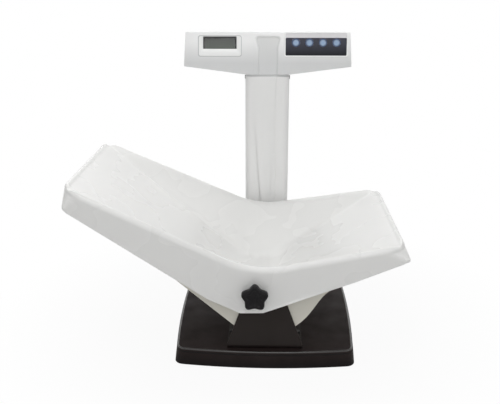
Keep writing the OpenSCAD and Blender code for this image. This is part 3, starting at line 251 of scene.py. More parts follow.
# Painted shadow: the LCD turns darker towards its top edge.
paint_shade_along(lcd_glass, (0, 0, 1), 557, 572, "#10130D")
lcd_glass.node_tree.nodes["Principled BSDF"].inputs["Specular IOR Level"].default_value = DULL
window_pc = bpy.data.materials.new("clear_polycarbonate")
window_pc.use_nodes = True
window_tree = window_pc.node_tree
window_shader = window_tree.nodes["Principled BSDF"]
window_place = add(window_tree, "ShaderNodeTexCoord").outputs["Object"]
window_wave = add(window_tree, "ShaderNodeTexNoise", {"Vector": window_place,
                                                      "Scale": 1 / (8 * MM)}).outputs["Fac"]
window_gloss = add(window_tree, "ShaderNodeMapRange", {"Value": window_wave, "To Min": 0.04,
                                                       "To Max": 0.12})
window_tree.links.new(window_gloss.outputs["Result"], window_shader.inputs["Roughness"])
window_shader.inputs["Base Color"].default_value = linear("#E4EBE6")
window_shader.inputs["IOR"].default_value = 1.58
window_shader.inputs["Transmission Weight"].default_value = 1.0
window_shader.inputs["Specular IOR Level"].default_value = DULL
print("display finishes:", 2)

# %% [markdown]
# ## The keys
# Each key is an embossed dome in a blue polyester film: pale blue in the middle, and a navy ring
# printed round its foot. The ring follows the key, so the colour is chosen by the distance from
# the key's own axis, which the script takes from the key's box.

# %% The key finish
KEY_RING_MM = 8.2


def key_finish(name, centre):
    """Blue film with a navy ring round the axis of the key at centre."""
    material = surface(name, ("#8FA9C8", "#7C9ABF"), (0.16, 0.24), 7, 0.5, 0.004, ior=1.57)
    tree = material.node_tree
    shader = tree.nodes["Principled BSDF"]
    film = shader.inputs["Base Color"].links[0].from_socket
    place = add(tree, "ShaderNodeTexCoord").outputs["Object"]
    away = add(tree, "ShaderNodeVectorMath", {0: place, 1: centre}, operation="DISTANCE")
    ring = add(tree, "ShaderNodeMapRange", {"Value": away.outputs["Value"],
                                            "From Min": (KEY_RING_MM - 3) * MM,
                                            "From Max": KEY_RING_MM * MM})
    both = add(tree, "ShaderNodeMix", {"Factor": ring.outputs["Result"], "A": film,
                                       "B": linear("#16325C")}, data_type="RGBA")
    tree.links.new(both.outputs["Result"], shader.inputs["Base Color"])
    return material


key_films = {}
for number in range(1, 5):
    low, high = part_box(f"key_{number}")
    key_films[f"key_{number}"] = key_finish(f"blue_key_film_{number}", (low + high) / 2)
print("key finishes:", sorted(key_films))

# %% [markdown]
# ## Which part wears what
# The CAD parts whose shape is already right keep their mesh. They get a finish, smooth shading,
# and a small bevel, because no moulded or bent edge is perfectly sharp.

# %% Finish for each part
FINISHES = {
    tray_abs: ["seat_tray"],
    saddle_abs: ["seat_saddle"],
    case_abs: ["head_front_case", "head_rear_case", "battery_door"],
    post_paint: ["post"],
    plate_abs: ["display_plate"],
    frame_abs: ["keypad_frame"],
    strip_film: ["keypad_strip"],
    cover_abs: ["platform_cover"],
    bracket_paint: ["seat_bracket"],
    knob_nylon: ["clamp_knob"],
    pan_steel: ["base_pan"],
    plate_steel: ["platform_plate", "post_foot"],
    foot_rubber: ["rubber_feet"],
    cable_vinyl: ["signal_cable"],
    panel_film: ["keypad_panel"],
    box_abs: ["battery_box", "power_socket"],
    cell_metal: ["load_cells"],
    screw_steel: ["cell_screws", "post_foot_screws", "saddle_screws", "clamp_stud",
                  "clamp_washer", "case_screws", "load_buttons", "battery_contacts"],
    black_oxide: ["bracket_screws", "neck_screws", "rear_pin"],
    insert_brass: ["clamp_insert"],
    switch_steel: ["key_switches"],
    board_mask: ["summing_board", "display_board", "key_board"],
    wire_vinyl: ["cell_wires", "board_link"],
    cell_sleeve: ["batteries"],
    lcd_glass: ["lcd_module"],
    window_pc: ["display_window"],
}
for film_name, film in key_films.items():
    FINISHES[film] = [film_name]


def wear(piece, material):
    """The piece shows this one finish."""
    piece.data.materials.clear()
    piece.data.materials.append(material)


for material, names in FINISHES.items():
    for name in names:
        wear(nodes[name], material)
bare = sorted(set(nodes) - {name for names in FINISHES.values() for name in names})
print("parts without a finish:", bare)

# %% [markdown]
# ## Smooth shading and soft edges
# A chain of modifiers does it, so the CAD mesh itself stays as it came. The weld joins the
# corners of its triangles, or no edge would have two faces. The bevel rounds the sharp edges, the
# split keeps what is still sharp, and weighted normals let a flat face stay flat up to its
# rounded border, where plain smooth shading would smear the curve's shade across it.

# %% Soft edges on the CAD parts
BEVEL_MM = {
    "seat_saddle": 1.2, "head_front_case": 0.8, "head_rear_case": 1.2, "post": 0.4,
    "platform_cover": 2.2, "seat_bracket": 0.8, "keypad_frame": 0.5, "keypad_panel": 0.15,
    "keypad_strip": 0.12, "base_pan": 0.5, "rubber_feet": 0.8, "battery_door": 0.3,
}
SMOOTH_BELOW = math.radians(32)


def soften(piece, width_mm, segments=3):
    """Welds the piece's corners, bevels its sharp edges and shades it smooth, by modifiers."""
    weld = piece.modifiers.new("weld", "WELD")
    weld.merge_threshold = 0.01 * MM
    if width_mm:
        bevel = piece.modifiers.new("soft edges", "BEVEL")
        bevel.width = width_mm * MM
        bevel.segments = segments
        bevel.limit_method = "ANGLE"
        bevel.angle_limit = SMOOTH_BELOW
        bevel.use_clamp_overlap = True
    split = piece.modifiers.new("sharp edges", "EDGE_SPLIT")
    split.split_angle = SMOOTH_BELOW
    even = piece.modifiers.new("flat faces", "WEIGHTED_NORMAL")
    even.keep_sharp = True
    piece.data.shade_smooth()


for name, piece in nodes.items():
    soften(piece, BEVEL_MM.get(name, 0.0))
print("softened:", len(nodes))

# %% [markdown]
# A helper turns points in millimetres into a closed mesh in metres. It joins points that lie on
# each other, and lets every face look outwards. A second helper turns a profile round an axis,
# for bosses, hubs and screws.

# %% Mesh helpers
def mesh_piece(name, points_mm, faces, body, material, sharp_deg=32):
    """A closed mesh object in the frame's metres that rides on a body and wears a finish."""
    mesh = bpy.data.meshes.new(name)
    mesh.from_pydata([tuple(float(c) * MM for c in p) for p in points_mm], [],
                     [tuple(int(i) for i in f) for f in faces])
    work = bmesh.new()
    work.from_mesh(mesh)
    bmesh.ops.remove_doubles(work, verts=work.verts, dist=0.002 * MM)
    bmesh.ops.dissolve_degenerate(work, edges=work.edges, dist=0.001 * MM)
    bmesh.ops.recalc_face_normals(work, faces=work.faces)
    work.to_mesh(mesh)
    work.free()
    mesh.shade_smooth()
    mesh.set_sharp_from_angle(angle=math.radians(sharp_deg))
    piece = bpy.data.objects.new(name, mesh)
    bpy.context.scene.collection.objects.link(piece)
    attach(piece, body)
    wear(piece, material)
    return piece


def turned(profile, origin, axis, steps=32):
    """Points and faces of a closed profile of (radius, height) turned round an axis."""
    turn = Vector((0, 0, 1)).rotation_difference(Vector(axis)).to_matrix()
    made, sides = [], []
    for step in range(steps):
        angle = 2 * math.pi * step / steps
        for radius, height in profile:
            made.append(Vector(origin) + turn @ Vector((radius * math.cos(angle),
                                                        radius * math.sin(angle), height)))
    count = len(profile)
    for step in range(steps):
        after = (step + 1) % steps
        for i in range(count):
            j = (i + 1) % count
            sides.append((step * count + i, after * count + i, after * count + j,
                          step * count + j))
    return [tuple(p) for p in made], sides


def joined(parts):
    """Several (points, faces) as one."""
    all_points, all_faces = [], []
    for some_points, some_faces in parts:
        first = len(all_points)
        all_points += [tuple(p) for p in some_points]
        all_faces += [tuple(i + first for i in face) for face in some_faces]
    return all_points, all_faces


print("mesh helpers ready")


# %% [markdown]
# ## The tray
# The tray is one moulding of glossy ABS: a rolled rim, a skirt that hangs from it, and a basin
# whose two wings slope down into a valley. The photograph shows no sharp edge on it. The rim rolls
# into the basin and over into the skirt. A subdivided box would need a cage that is hard to place
# on the frame, so the top is worked out as a height over the plan, and laid on rings that follow
# the plan outline. Spacing the rings closely near the rim gives the roll its smooth highlight.

# %% Sizes of the tray in millimetres
low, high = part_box("seat_tray")
LEFT, FRONT = low.x / MM, low.y / MM
RIGHT, REAR, LEFT_END_Z = high.x / MM, high.y / MM, high.z / MM
MIDDLE = (FRONT + REAR) / 2
VALLEY_X = -20.0
FRONT_RIM_Z, REAR_RIM_Z = 197.7, 212.7
LEFT_RISE, RIGHT_RISE = math.tan(math.radians(25.4)), math.tan(math.radians(11.6))
RIGHT_END_Z = FRONT_RIM_Z + (RIGHT - VALLEY_X) * RIGHT_RISE
RIM_LAND = 18.0
RIM_BEND = 180.0
WALL = 4.0
FILLET, VALLEY_FILLET, VALLEY_HALF = 9.0, 42.0, 37.0
END_STEP = 3.0
FOLD_X, FOLD_Z, FOLD_BEND = -17.6, 119.7, 90.0
LEFT_WING, RIGHT_WING = math.radians(35), math.radians(25.9)
SKIRT_Z = 119.0
SKIRT_LINE = [(LEFT, LEFT_END_Z - 45), (-103, 144.0), (VALLEY_X - 26, SKIRT_Z - 1),
              (VALLEY_X + 17, SKIRT_Z), (160, 180.8),
              (RIGHT, RIGHT_END_Z - 34)]
print("tray from", round(LEFT), "to", round(RIGHT), "mm, rim up to", round(LEFT_END_Z, 1))


# %% The line of the rim, seen from the front
def bend_centre(x, z, left, right, radius):
    """Centre of the arc that rounds the corner at x, z between slopes of angles left and right."""
    reach = radius * math.tan((left + right) / 2)
    return (x + reach * math.cos(right) - radius * math.sin(right),
            z + reach * math.sin(right) + radius * math.cos(right))


def rim_line(valley_z):
    """Corner points of the rim from left to right, with its bend over the valley drawn fine."""
    run_l, run_r = VALLEY_X - LEFT - RIM_LAND, RIGHT - VALLEY_X - RIM_LAND
    z_l, z_r = LEFT_END_Z - RIM_LAND * LEFT_RISE, RIGHT_END_Z - RIM_LAND * RIGHT_RISE
    a_l, a_r = math.atan((z_l - valley_z) / run_l), math.atan((z_r - valley_z) / run_r)
    centre_x, centre_z = bend_centre(VALLEY_X, valley_z, a_l, a_r, RIM_BEND)
    bend = [(centre_x + RIM_BEND * math.sin(a), centre_z - RIM_BEND * math.cos(a))
            for a in np.linspace(-a_l, a_r, 40)]
    return [(LEFT, LEFT_END_Z), (VALLEY_X - run_l, z_l)] + bend + [(VALLEY_X + run_r, z_r),
                                                                    (RIGHT, RIGHT_END_Z)]


def along(line, x):
    """Height of a line of corner points at each x."""
    points = np.array(line)
    return np.interp(x, points[:, 0], points[:, 1])


front_rim, rear_rim = rim_line(FRONT_RIM_Z), rim_line(REAR_RIM_Z)


def rim_height(x, y):
    """Height of the rim's flat top over each point of the plan."""
    return np.where(y < MIDDLE, along(front_rim, x), along(rear_rim, x))


print("rim over the valley:", round(float(along(front_rim, VALLEY_X)), 1), "mm")


# %% [markdown]
# The basin is as if a sheet were drawn tight under balls: small ones at the ends of the rim and
# along its bend, and a row of big ones in the valley. The height of such a sheet is the highest of
# all the planes that touch the balls from below, so a search over the two slopes of a plane finds
# it exactly. A shallow groove runs down each diagonal fold, where the mould's halves of the wing and
# the wall meet.

# %% The height of the basin
STEEPEST = 2.2
BEND_BALLS, FLOOR_BALLS = 7, 5
BEND_DROP = 1.0
GROOVE_WIDE = 3.4
GROOVES = [(LEFT + RIM_LAND, -39.0, 41.0, 1.5), (RIGHT - RIM_LAND, 90.0, 86.0, 0.6)]
GOLDEN = (math.sqrt(5) - 1) / 2
SEARCH_STEPS = 28


def basin_balls():
    """Centre and radius of each ball that the basin's sheet is drawn under."""
    reach = (REAR - FRONT) / 2 - RIM_LAND
    floor_x, floor_z = bend_centre(FOLD_X, FOLD_Z, LEFT_WING, RIGHT_WING, FOLD_BEND)
    balls = []
    for s, rim in ((-1, front_rim), (1, rear_rim)):
        y = MIDDLE + s * reach
        for x in (LEFT + RIM_LAND, RIGHT - RIM_LAND):
            balls.append((x, y, float(along(rim, x)) - END_STEP + FILLET, FILLET))
        bend = np.array(rim[2:-2])
        for x in np.linspace(bend[0, 0], bend[-1, 0], BEND_BALLS):
            balls.append((x, y, float(along(rim, x)) - BEND_DROP + FILLET, FILLET))
        for a in np.linspace(-LEFT_WING, RIGHT_WING, FLOOR_BALLS):
            arm = FOLD_BEND - VALLEY_FILLET
            balls.append((floor_x + arm * math.sin(a), MIDDLE + s * VALLEY_HALF,
                          floor_z - arm * math.cos(a), VALLEY_FILLET))
    return np.array(balls)


def golden_best(value_at, like):
    """The top of a curve with one peak, for every point of an array at once."""
    low, high = np.full_like(like, -STEEPEST), np.full_like(like, STEEPEST)
    left, right = high - GOLDEN * (high - low), low + GOLDEN * (high - low)
    value_left, value_right = value_at(left), value_at(right)
    for _ in range(SEARCH_STEPS):
        climb = value_left < value_right
        low, high = np.where(climb, left, low), np.where(climb, high, right)
        fresh = np.where(climb, low + GOLDEN * (high - low), high - GOLDEN * (high - low))
        value = value_at(fresh)
        left, right = np.where(climb, right, fresh), np.where(climb, fresh, left)
        value_left, value_right = (np.where(climb, value_right, value),
                                   np.where(climb, value, value_left))
    return np.maximum(value_left, value_right)


def tight_sheet(x, y, balls):
    """Height at x, y of the sheet drawn tight under the balls."""
    def plane_height(a, b):
        lean = np.sqrt(1 + a * a + b * b)
        hold = np.max([a * cx + b * cy - cz + r * lean for cx, cy, cz, r in balls], axis=0)
        return a * x + b * y - hold
    return golden_best(lambda a: golden_best(lambda b: plane_height(a, b), x), x)


def groove(x, y):
    """How deep the grooves along the four diagonal folds are at each point of the plan."""
    deep = np.zeros_like(x)
    for end_x, foot_x, foot_off, sunk in GROOVES:
        for s in (-1, 1):
            end = np.array([end_x, MIDDLE + s * ((REAR - FRONT) / 2 - RIM_LAND)])
            run = np.array([foot_x, MIDDLE + s * foot_off]) - end
            share = ((x - end[0]) * run[0] + (y - end[1]) * run[1]) / (run @ run)
            away = ((x - end[0]) * run[1] - (y - end[1]) * run[0]) / math.sqrt(run @ run)
            fade = np.interp(share, [0.06, 0.25, 0.85, 1.0], [0, 1, 1, 0])
            deep = np.maximum(deep, sunk * fade * np.exp(-(away / GROOVE_WIDE) ** 2))
    return deep


def basin_height(x, y):
    """Height of the basin over the plan."""
    return tight_sheet(x, y, basin_balls()) - groove(x, y)


probe = basin_height(np.array([VALLEY_X]), np.array([MIDDLE]))
print("lowest point of the basin:", round(float(probe[0]), 2), "mm")


# %% [markdown]
# Each ring follows the plan outline, drawn in by its own distance. The corners tighten as the
# rings go in, and 25 mm in, where they have shrunk to points, a plain grid takes over. The outer
# rings drop away on a quarter of an ellipse to roll the rim over. From there the skirt runs down
# to a foot, tighter at its front corners, which flares at the right end and has a small lip below
# the knob. A soft minimum joins rim and basin.

# %% Lay the rings and the grid
ROLL, ROLL_DROP = 11.0, 12.0
BLEND = 8.0
EDGE, LIP = 1.2, 1.8
CORE = 25.0
RIM_TURN, FRONT_FOOT_TURN, REAR_FOOT_TURN = 36.0, 10.0, 34.0
FLARE_LEFT, FLARE_RIGHT = 1.0, 7.5
SLOPED_WALL = 1.12 * WALL
LONG_STEPS, SHORT_STEPS = ((210, 116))
TURN_STEPS, ROLL_STEPS, WALL_STEPS = 14, 10, 12


def plan_ring(inset, front_turn, rear_turn):
    """The plan outline drawn in by inset, with its corner radii, from the front left."""
    x0, x1, y0, y1 = LEFT + inset, RIGHT - inset, FRONT + inset, REAR - inset
    sides = [((x0 + front_turn, y0), (x1 - front_turn, y0), LONG_STEPS),
             ((x1, y0 + front_turn), (x1, y1 - rear_turn), SHORT_STEPS),
             ((x1 - rear_turn, y1), (x0 + rear_turn, y1), LONG_STEPS),
             ((x0, y1 - rear_turn), (x0, y0 + front_turn), SHORT_STEPS)]
    turns = [front_turn, rear_turn, rear_turn, front_turn]
    centres = [(x1 - front_turn, y0 + front_turn), (x1 - rear_turn, y1 - rear_turn),
               (x0 + rear_turn, y1 - rear_turn), (x0 + front_turn, y0 + front_turn)]
    ring = []
    for quarter, ((start, end, steps), centre) in enumerate(zip(sides, centres)):
        share = np.arange(steps)[:, None] / steps
        ring.append(np.array(start) * (1 - share) + np.array(end) * share)
        angle = math.radians(-90 + 90 * quarter) + np.arange(TURN_STEPS) / TURN_STEPS * math.pi / 2
        ring.append(np.array(centre)
                    + turns[quarter] * np.stack([np.cos(angle), np.sin(angle)], axis=1))
    return np.concatenate(ring)


def soft_min(a, b, blend):
    """The lower of two heights, with the corner between them rounded off over blend."""
    share = np.clip(0.5 + 0.5 * (b - a) / blend, 0, 1)
    return b * (1 - share) + a * share - blend * share * (1 - share)


def top_height(x, y):
    return soft_min(rim_height(x, y), basin_height(x, y), BLEND)


def under_height(x, y):
    return soft_min(rim_height(x, y) - WALL, basin_height(x, y) - SLOPED_WALL, BLEND)


def level_ring(inset, height, drop=0.0):
    """A ring of 3D points: its plan by inset, its heights by a function of x and y."""
    turn = RIM_TURN * (1 - inset / CORE)
    plan = plan_ring(inset, turn, turn)
    return np.column_stack([plan, height(plan[:, 0], plan[:, 1]) - drop])


def between(first, last, steps):
    """Rings on straight lines from one ring to another, without the first."""
    return [first * (1 - share) + last * share for share in np.linspace(0, 1, steps)[1:]]


foot_plan = plan_ring(0, FRONT_FOOT_TURN, REAR_FOOT_TURN)
outward = foot_plan - plan_ring(1, FRONT_FOOT_TURN - 1, REAR_FOOT_TURN - 1)
flare = np.where(foot_plan[:, 0] > VALLEY_X, FLARE_RIGHT, FLARE_LEFT)
foot_plan = foot_plan + outward * [1, 0] * flare[:, None]
lip = LIP * np.interp(foot_plan[:, 0], [VALLEY_X - 45, VALLEY_X - 18, VALLEY_X + 62,
                                        VALLEY_X + 140], [0, 1, 1, 0])


def foot_ring(out, rise, turned_out):
    """A ring at the skirt's foot: moved out by out, and by a share of the lip."""
    plan = foot_plan + outward * (out + turned_out * lip)[:, None]
    return np.column_stack([plan, along(SKIRT_LINE, plan[:, 0]) + rise])


rings = [level_ring(inset, under_height) for inset in (CORE, 22, 19, 17)]
for angle in np.linspace(math.pi / 2, 0, ROLL_STEPS):
    rings.append(level_ring(WALL + ROLL * (1 - math.cos(angle)), under_height,
                            ROLL_DROP * (1 - math.sin(angle))))
rings += between(rings[-1], foot_ring(-WALL, EDGE, 0.0), WALL_STEPS)
for out, rise, turned_out in ((-WALL + EDGE, 0, 0.5), (-EDGE, 0, 1.0), (-0.35, 0.35, 1.0),
                              (0, EDGE, 1.0), (0, 2.2, 0.8), (0, 3.4, 0.4), (0, 5.0, 0.0)):
    rings.append(foot_ring(out, rise, turned_out))
rings += between(rings[-1], level_ring(0, rim_height, ROLL_DROP), WALL_STEPS)
for angle in np.linspace(0, math.pi / 2, ROLL_STEPS + 1)[1:]:
    rings.append(level_ring(ROLL * (1 - math.cos(angle)), top_height,
                            ROLL_DROP * (1 - math.sin(angle))))
for inset in (12, 13, 14, 15, 16, 17, 18, 19.2, 20.5, 22, 23.5, CORE):
    rings.append(level_ring(inset, top_height))
around = len(rings[0])
points = np.concatenate(rings)
faces = [(k * around + i, k * around + (i + 1) % around, (k + 1) * around + (i + 1) % around,
          (k + 1) * around + i) for k in range(len(rings) - 1) for i in range(around)]
grid_x, grid_y = np.meshgrid(np.linspace(LEFT + CORE, RIGHT - CORE, LONG_STEPS + 1),
                             np.linspace(FRONT + CORE, REAR - CORE, SHORT_STEPS + 1))
for height in (top_height, under_height):
    first = len(points)
    flat_x, flat_y = grid_x.ravel(), grid_y.ravel()
    points = np.concatenate([points, np.column_stack([flat_x, flat_y, height(flat_x, flat_y)])])
    wide = LONG_STEPS + 1
    faces += [(first + r * wide + c, first + r * wide + c + 1, first + (r + 1) * wide + c + 1,
               first + (r + 1) * wide + c) for r in range(SHORT_STEPS) for c in range(LONG_STEPS)]
print("tray rings:", len(rings), "of", around, "points, faces:", len(faces))


# %% [markdown]
# The bosses below the basin take the screws of the saddle, and one behind the skirt lets the
# clamp's stud through. They are turned profiles that end inside the tray's wall.

# %% The tray and its bosses
KNOB_X, KNOB_Z = -18.0, 156.0
BOSS_X, BOSS_Y, BOSS_R, BOSS_Z = 34.0, 55.0, 9.0, 45.1
BOSS_BORE, SCREW_BORE = 25.0, 2.55
CLAMP_R, CLAMP_BORE = 12.5, 4.5
parts = [(points, faces)]
for sx in (-1, 1):
    for sy in (-1, 1):
        x, y = VALLEY_X + 14 + sx * BOSS_X, MIDDLE + sy * BOSS_Y
        top = float(basin_height(np.array([x]), np.array([y]))[0]) - 1.5 * WALL
        parts.append(turned([(0, BOSS_Z + BOSS_BORE), (SCREW_BORE, BOSS_Z + BOSS_BORE),
                             (SCREW_BORE, BOSS_Z), (BOSS_R - 0.5, BOSS_Z), (BOSS_R, BOSS_Z + 0.5),
                             (BOSS_R, top), (0, top)], (x, y, 0), (0, 0, 1)))
parts.append(turned([(CLAMP_BORE, 0), (CLAMP_BORE, WALL + 13.9), (CLAMP_R, WALL + 13.9),
                     (CLAMP_R, 0)], (KNOB_X, FRONT + 1.5, KNOB_Z), (0, 1, 0)))
tray = mesh_piece("tray_moulding", *joined(parts), "seat", tray_abs)
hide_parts("seat_tray")
print("tray:", len(tray.data.polygons), "faces")

# %% [markdown]
# ## Loops that become a ring
# A bezel, a film's border, a knob or a bead is one closed loop of points after another. One helper
# joins the loops into a tube that closes on itself, and another turns places on the leaning face
# of the head into places in the frame.

# %% Loops, and places on the leaning face
def looped(loops, closed=True):
    """Points and faces of a tube through the loops; closed joins the last loop to the first."""
    count = len(loops[0])
    pairs = list(zip(range(len(loops)), range(1, len(loops))))
    pairs += [(len(loops) - 1, 0)] if closed else []
    sides = [(a * count + i, a * count + (i + 1) % count, b * count + (i + 1) % count,
              b * count + i) for a, b in pairs for i in range(count)]
    if not closed:
        sides += [tuple(range(count)), tuple((len(loops) - 1) * count + i for i in range(count))]
    return np.concatenate(loops), sides


def on_face(x, up, depth):
    """The place x to the right, up along the leaning face and depth into the head."""
    x, up, depth = np.broadcast_arrays(x, up, depth)
    return np.stack([x, HEAD_FRONT_Y + up * math.sin(FACE_TILT) + depth * math.cos(FACE_TILT),
                     HEAD_Z + up * math.cos(FACE_TILT) - depth * math.sin(FACE_TILT)], axis=-1)


def face_loop(centre, size, turn, depth, steps=8):
    """A rounded rectangle on the leaning face, at one depth."""
    half_w, half_h = size[0] / 2 - turn, size[1] / 2 - turn
    around = []
    for quarter, (sx, sy) in enumerate(((1, 1), (-1, 1), (-1, -1), (1, -1))):
        for angle in np.linspace(0, math.pi / 2, steps) + quarter * math.pi / 2:
            around.append((centre[0] + sx * half_w + turn * math.cos(angle),
                           centre[1] + sy * half_h + turn * math.sin(angle)))
    plan = np.array(around)
    return on_face(plan[:, 0], plan[:, 1], depth)


print("face helper, top of the head's face at", on_face(0, 70, 0).round(1))

# %% [markdown]
# ## The display's bezel
# The bezel is a raised plate of white polycarbonate with rounded corners. A fine grey ring round
# it is painted shadow at its raised edge, and a black border in the opening, widest at the top,
# is painted shadow cast into the recessed window round the LCD.

# %% Bezel, painted shadow ring and painted window shadow
DISPLAY = (-102.2, 42.9)
DISPLAY_SIZE = (91.7, 43.1)
WINDOW_UP = 7.1
WINDOW_SIZE = (71.6, 25.9)
window_at = (DISPLAY[0], DISPLAY[1] + WINDOW_UP)
BORDER_SIZE = (WINDOW_SIZE[0] - 6.0, WINDOW_SIZE[1] - 4.4)
border_at = (window_at[0], window_at[1] - 1.8)


def face_ring(table):
    """A closed ring on the face from rows of centre, size, growth, corner radius and depth."""
    return looped([face_loop(centre, (size[0] + 2 * grow, size[1] + 2 * grow), turn, depth)
                   for centre, size, grow, turn, depth in table])


bezel = mesh_piece("display_bezel", *face_ring([
    (DISPLAY, DISPLAY_SIZE, -0.4, 4.6, 0.9), (DISPLAY, DISPLAY_SIZE, -0.4, 4.6, -0.2),
    (DISPLAY, DISPLAY_SIZE, -0.7, 4.3, -0.6), (DISPLAY, DISPLAY_SIZE, -1.4, 3.6, -0.8),
    (window_at, WINDOW_SIZE, 0.9, 1.9, -0.8), (window_at, WINDOW_SIZE, 0.3, 1.3, -0.5),
    (window_at, WINDOW_SIZE, 0, 1.0, 0.3), (window_at, WINDOW_SIZE, 0, 1.0, 0.9)]),
    "base", plate_abs)
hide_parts("display_plate")
# Painted shadow: a fine grey ring round the bezel stands for the shadow at its raised edge.
bezel_shadow_grey = surface("grey_painted_bezel_shadow", ("#C3C5C6", "#B9BBBC"), (0.5, 0.6), 20, 0.6,
                          0.004)
bezel_shadow_line = mesh_piece("display_painted_shadow_line", *face_ring([
    (DISPLAY, DISPLAY_SIZE, 0.9, 5.4, 0.3), (DISPLAY, DISPLAY_SIZE, 0.8, 5.3, -0.06),
    (DISPLAY, DISPLAY_SIZE, -0.3, 4.7, -0.06), (DISPLAY, DISPLAY_SIZE, -0.3, 4.7, 0.3)]),
    "base", bezel_shadow_grey)
# Painted shadow: a black sheet in the opening, widest at the top, stands for the shadow cast into
# the recessed window.
border = mesh_piece("window_painted_shadow", *face_ring([
    (window_at, WINDOW_SIZE, -0.05, 1.0, 1.9), (window_at, WINDOW_SIZE, -0.05, 1.0, 1.4),
    (border_at, BORDER_SIZE, 0, 0.8, 1.4), (border_at, BORDER_SIZE, 0, 0.8, 1.9)]),
    "base", box_abs)
print("bezel pieces:", 3)

# %% [markdown]
# ## The hollow down the face
# A soft hollow runs down the middle of the head's face to the post, wider at the top. Its walls
# are slopes 6 mm wide, so it is a height drawn over the face: the depth follows the distance
# from the hollow's outline. Its border dips just under the face, so that no edge shows.

# %% The hollow
HOLLOW_X, HOLLOW_HALF, HOLLOW_FLARE, HOLLOW_TOP = 1.0, 22.2, 5.2, 64.4
HOLLOW_DEEP, HOLLOW_WALL, HOLLOW_TURN = 3.9, 6.0, 9.0
HOLLOW_FOOT, FLARE_FROM, FLARE_OVER = -16.9, 36.0, 24.0
SKIN_HALF, SKIN_TOP, SKIN_TUCK, SKIN_PROUD, SKIN_THICK = 33.0, 69.0, 0.5, 0.06, 0.8
WALL_START = 1.5


def smooth(t):
    """A soft step from none at 0 to one at 1."""
    t = np.clip(t, 0, 1)
    return t * t * (3 - 2 * t)


across, upward = np.meshgrid(np.linspace(-SKIN_HALF, SKIN_HALF, 133),
                             np.linspace(HOLLOW_FOOT, SKIN_TOP, 173))
half = HOLLOW_HALF + HOLLOW_FLARE * smooth((upward - FLARE_FROM) / FLARE_OVER)
side_in, top_in = half - np.abs(across), HOLLOW_TOP - upward
corner = np.hypot(np.minimum(side_in - HOLLOW_TURN, 0), np.minimum(top_in - HOLLOW_TURN, 0))
inside = np.minimum(np.minimum(side_in, top_in), HOLLOW_TURN - corner)
depth = HOLLOW_DEEP * smooth((inside + WALL_START) / HOLLOW_WALL) - SKIN_PROUD
rim_off = np.minimum(SKIN_HALF - np.abs(across), SKIN_TOP - upward)
depth = depth + SKIN_TUCK * (1 - smooth(rim_off / 2))
skin = on_face(HOLLOW_X + across, upward, depth).reshape(-1, 3)
back = on_face(HOLLOW_X + across, upward, np.maximum(depth, 0) + SKIN_THICK).reshape(-1, 3)
rows, columns = across.shape
cell = [(r * columns + c, r * columns + c + 1, (r + 1) * columns + c + 1, (r + 1) * columns + c)
        for r in range(rows - 1) for c in range(columns - 1)]
edge = ([c for c in range(columns)] + [r * columns + columns - 1 for r in range(1, rows)]
        + [(rows - 1) * columns + c for c in range(columns - 2, -1, -1)]
        + [r * columns for r in range(rows - 2, 0, -1)])
shift = rows * columns
border_faces = [(edge[i], edge[(i + 1) % len(edge)], edge[(i + 1) % len(edge)] + shift,
                 edge[i] + shift) for i in range(len(edge))]
hollow = mesh_piece("face_hollow", np.concatenate([skin, back]),
                    cell + [tuple(i + shift for i in face) for face in cell] + border_faces,
                    "base", hollow_shaded_abs, sharp_deg=50)
print("hollow:", len(hollow.data.polygons), "faces, down to z",
      round(float(skin[:, 2].min()), 1), "mm")

# %% [markdown]
# ## The clamp knob
# The knob is a star with five soft lobes, moulded in nylon round a brass core. Its outline is a
# circle whose radius swells five times, and each loop of the outline is drawn in a little more
# towards the front, so that the edge catches a curved light. The face is dished.

# %% The knob
KNOB_MEAN, KNOB_SWELL, LOBES, LOBE_SHARP = 22.1, 2.9, 5, 0.12
low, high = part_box("clamp_knob")
KNOB_BACK, KNOB_FRONT = high.y / MM, low.y / MM
print("knob from y", round(KNOB_BACK, 1), "to", round(KNOB_FRONT, 1), "mm")


def star_loop(inset, back, steps=120):
    """A loop of the star's outline, drawn in by inset, at a distance behind the knob's front."""
    angle = np.linspace(0, 2 * math.pi, steps, endpoint=False)
    wave = np.cos(LOBES * (angle - math.pi / 2))
    radius = KNOB_MEAN + KNOB_SWELL * (wave + LOBE_SHARP * (wave * wave - 1)) - inset
    radius = np.where(inset > KNOB_MEAN - 9, KNOB_MEAN - inset, radius)
    return np.stack([KNOB_X + radius * np.cos(angle), np.full(steps, KNOB_FRONT + back),
                     KNOB_Z + radius * np.sin(angle)], axis=1)


HUB = KNOB_MEAN - 8
KNOB_LOOPS = [(HUB, KNOB_BACK - KNOB_FRONT), (HUB, 16.5), (5.0, 15.4), (1.6, 14.8), (0.4, 13.6),
              (0.0, 12.0), (0.0, 4.6), (0.35, 2.9), (1.3, 1.5), (2.8, 0.5), (4.6, 0.0),
              (6.4, 0.2), (8.4, 1.4), (10.5, 2.4), (KNOB_MEAN - 5, 2.9), (KNOB_MEAN - 0.1, 3.0)]
star = [star_loop(inset, behind) for inset, behind in KNOB_LOOPS]
knob = mesh_piece("clamp_knob_star", *looped(star, closed=False), "knob", knob_nylon)
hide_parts("clamp_knob")
print("knob:", len(knob.data.polygons), "faces")

# %% [markdown]
# ## The platform's edge
# Round the top of the platform's cover runs a polished bead, which draws a fine light line along
# the front and the sides. Below it a thin black ring is painted shade, the dark line of a groove.
# Both are loops round the plan, found where a bowed rectangle with rounded corners is as far in
# as the loop asks.

# %% Bead and painted groove shade
low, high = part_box("platform_cover")
COVER_HALF = np.array([high.x, high.y]) / MM
SIDE_BOW, FRONT_BOW, COVER_TURN = 11, 14, 18.0
COVER_TOP = high.z / MM
RAYS, NEAREST, FARTHEST, HALVINGS = 720, 100.0, 320.0, 30
BEAD_SIDES = 14


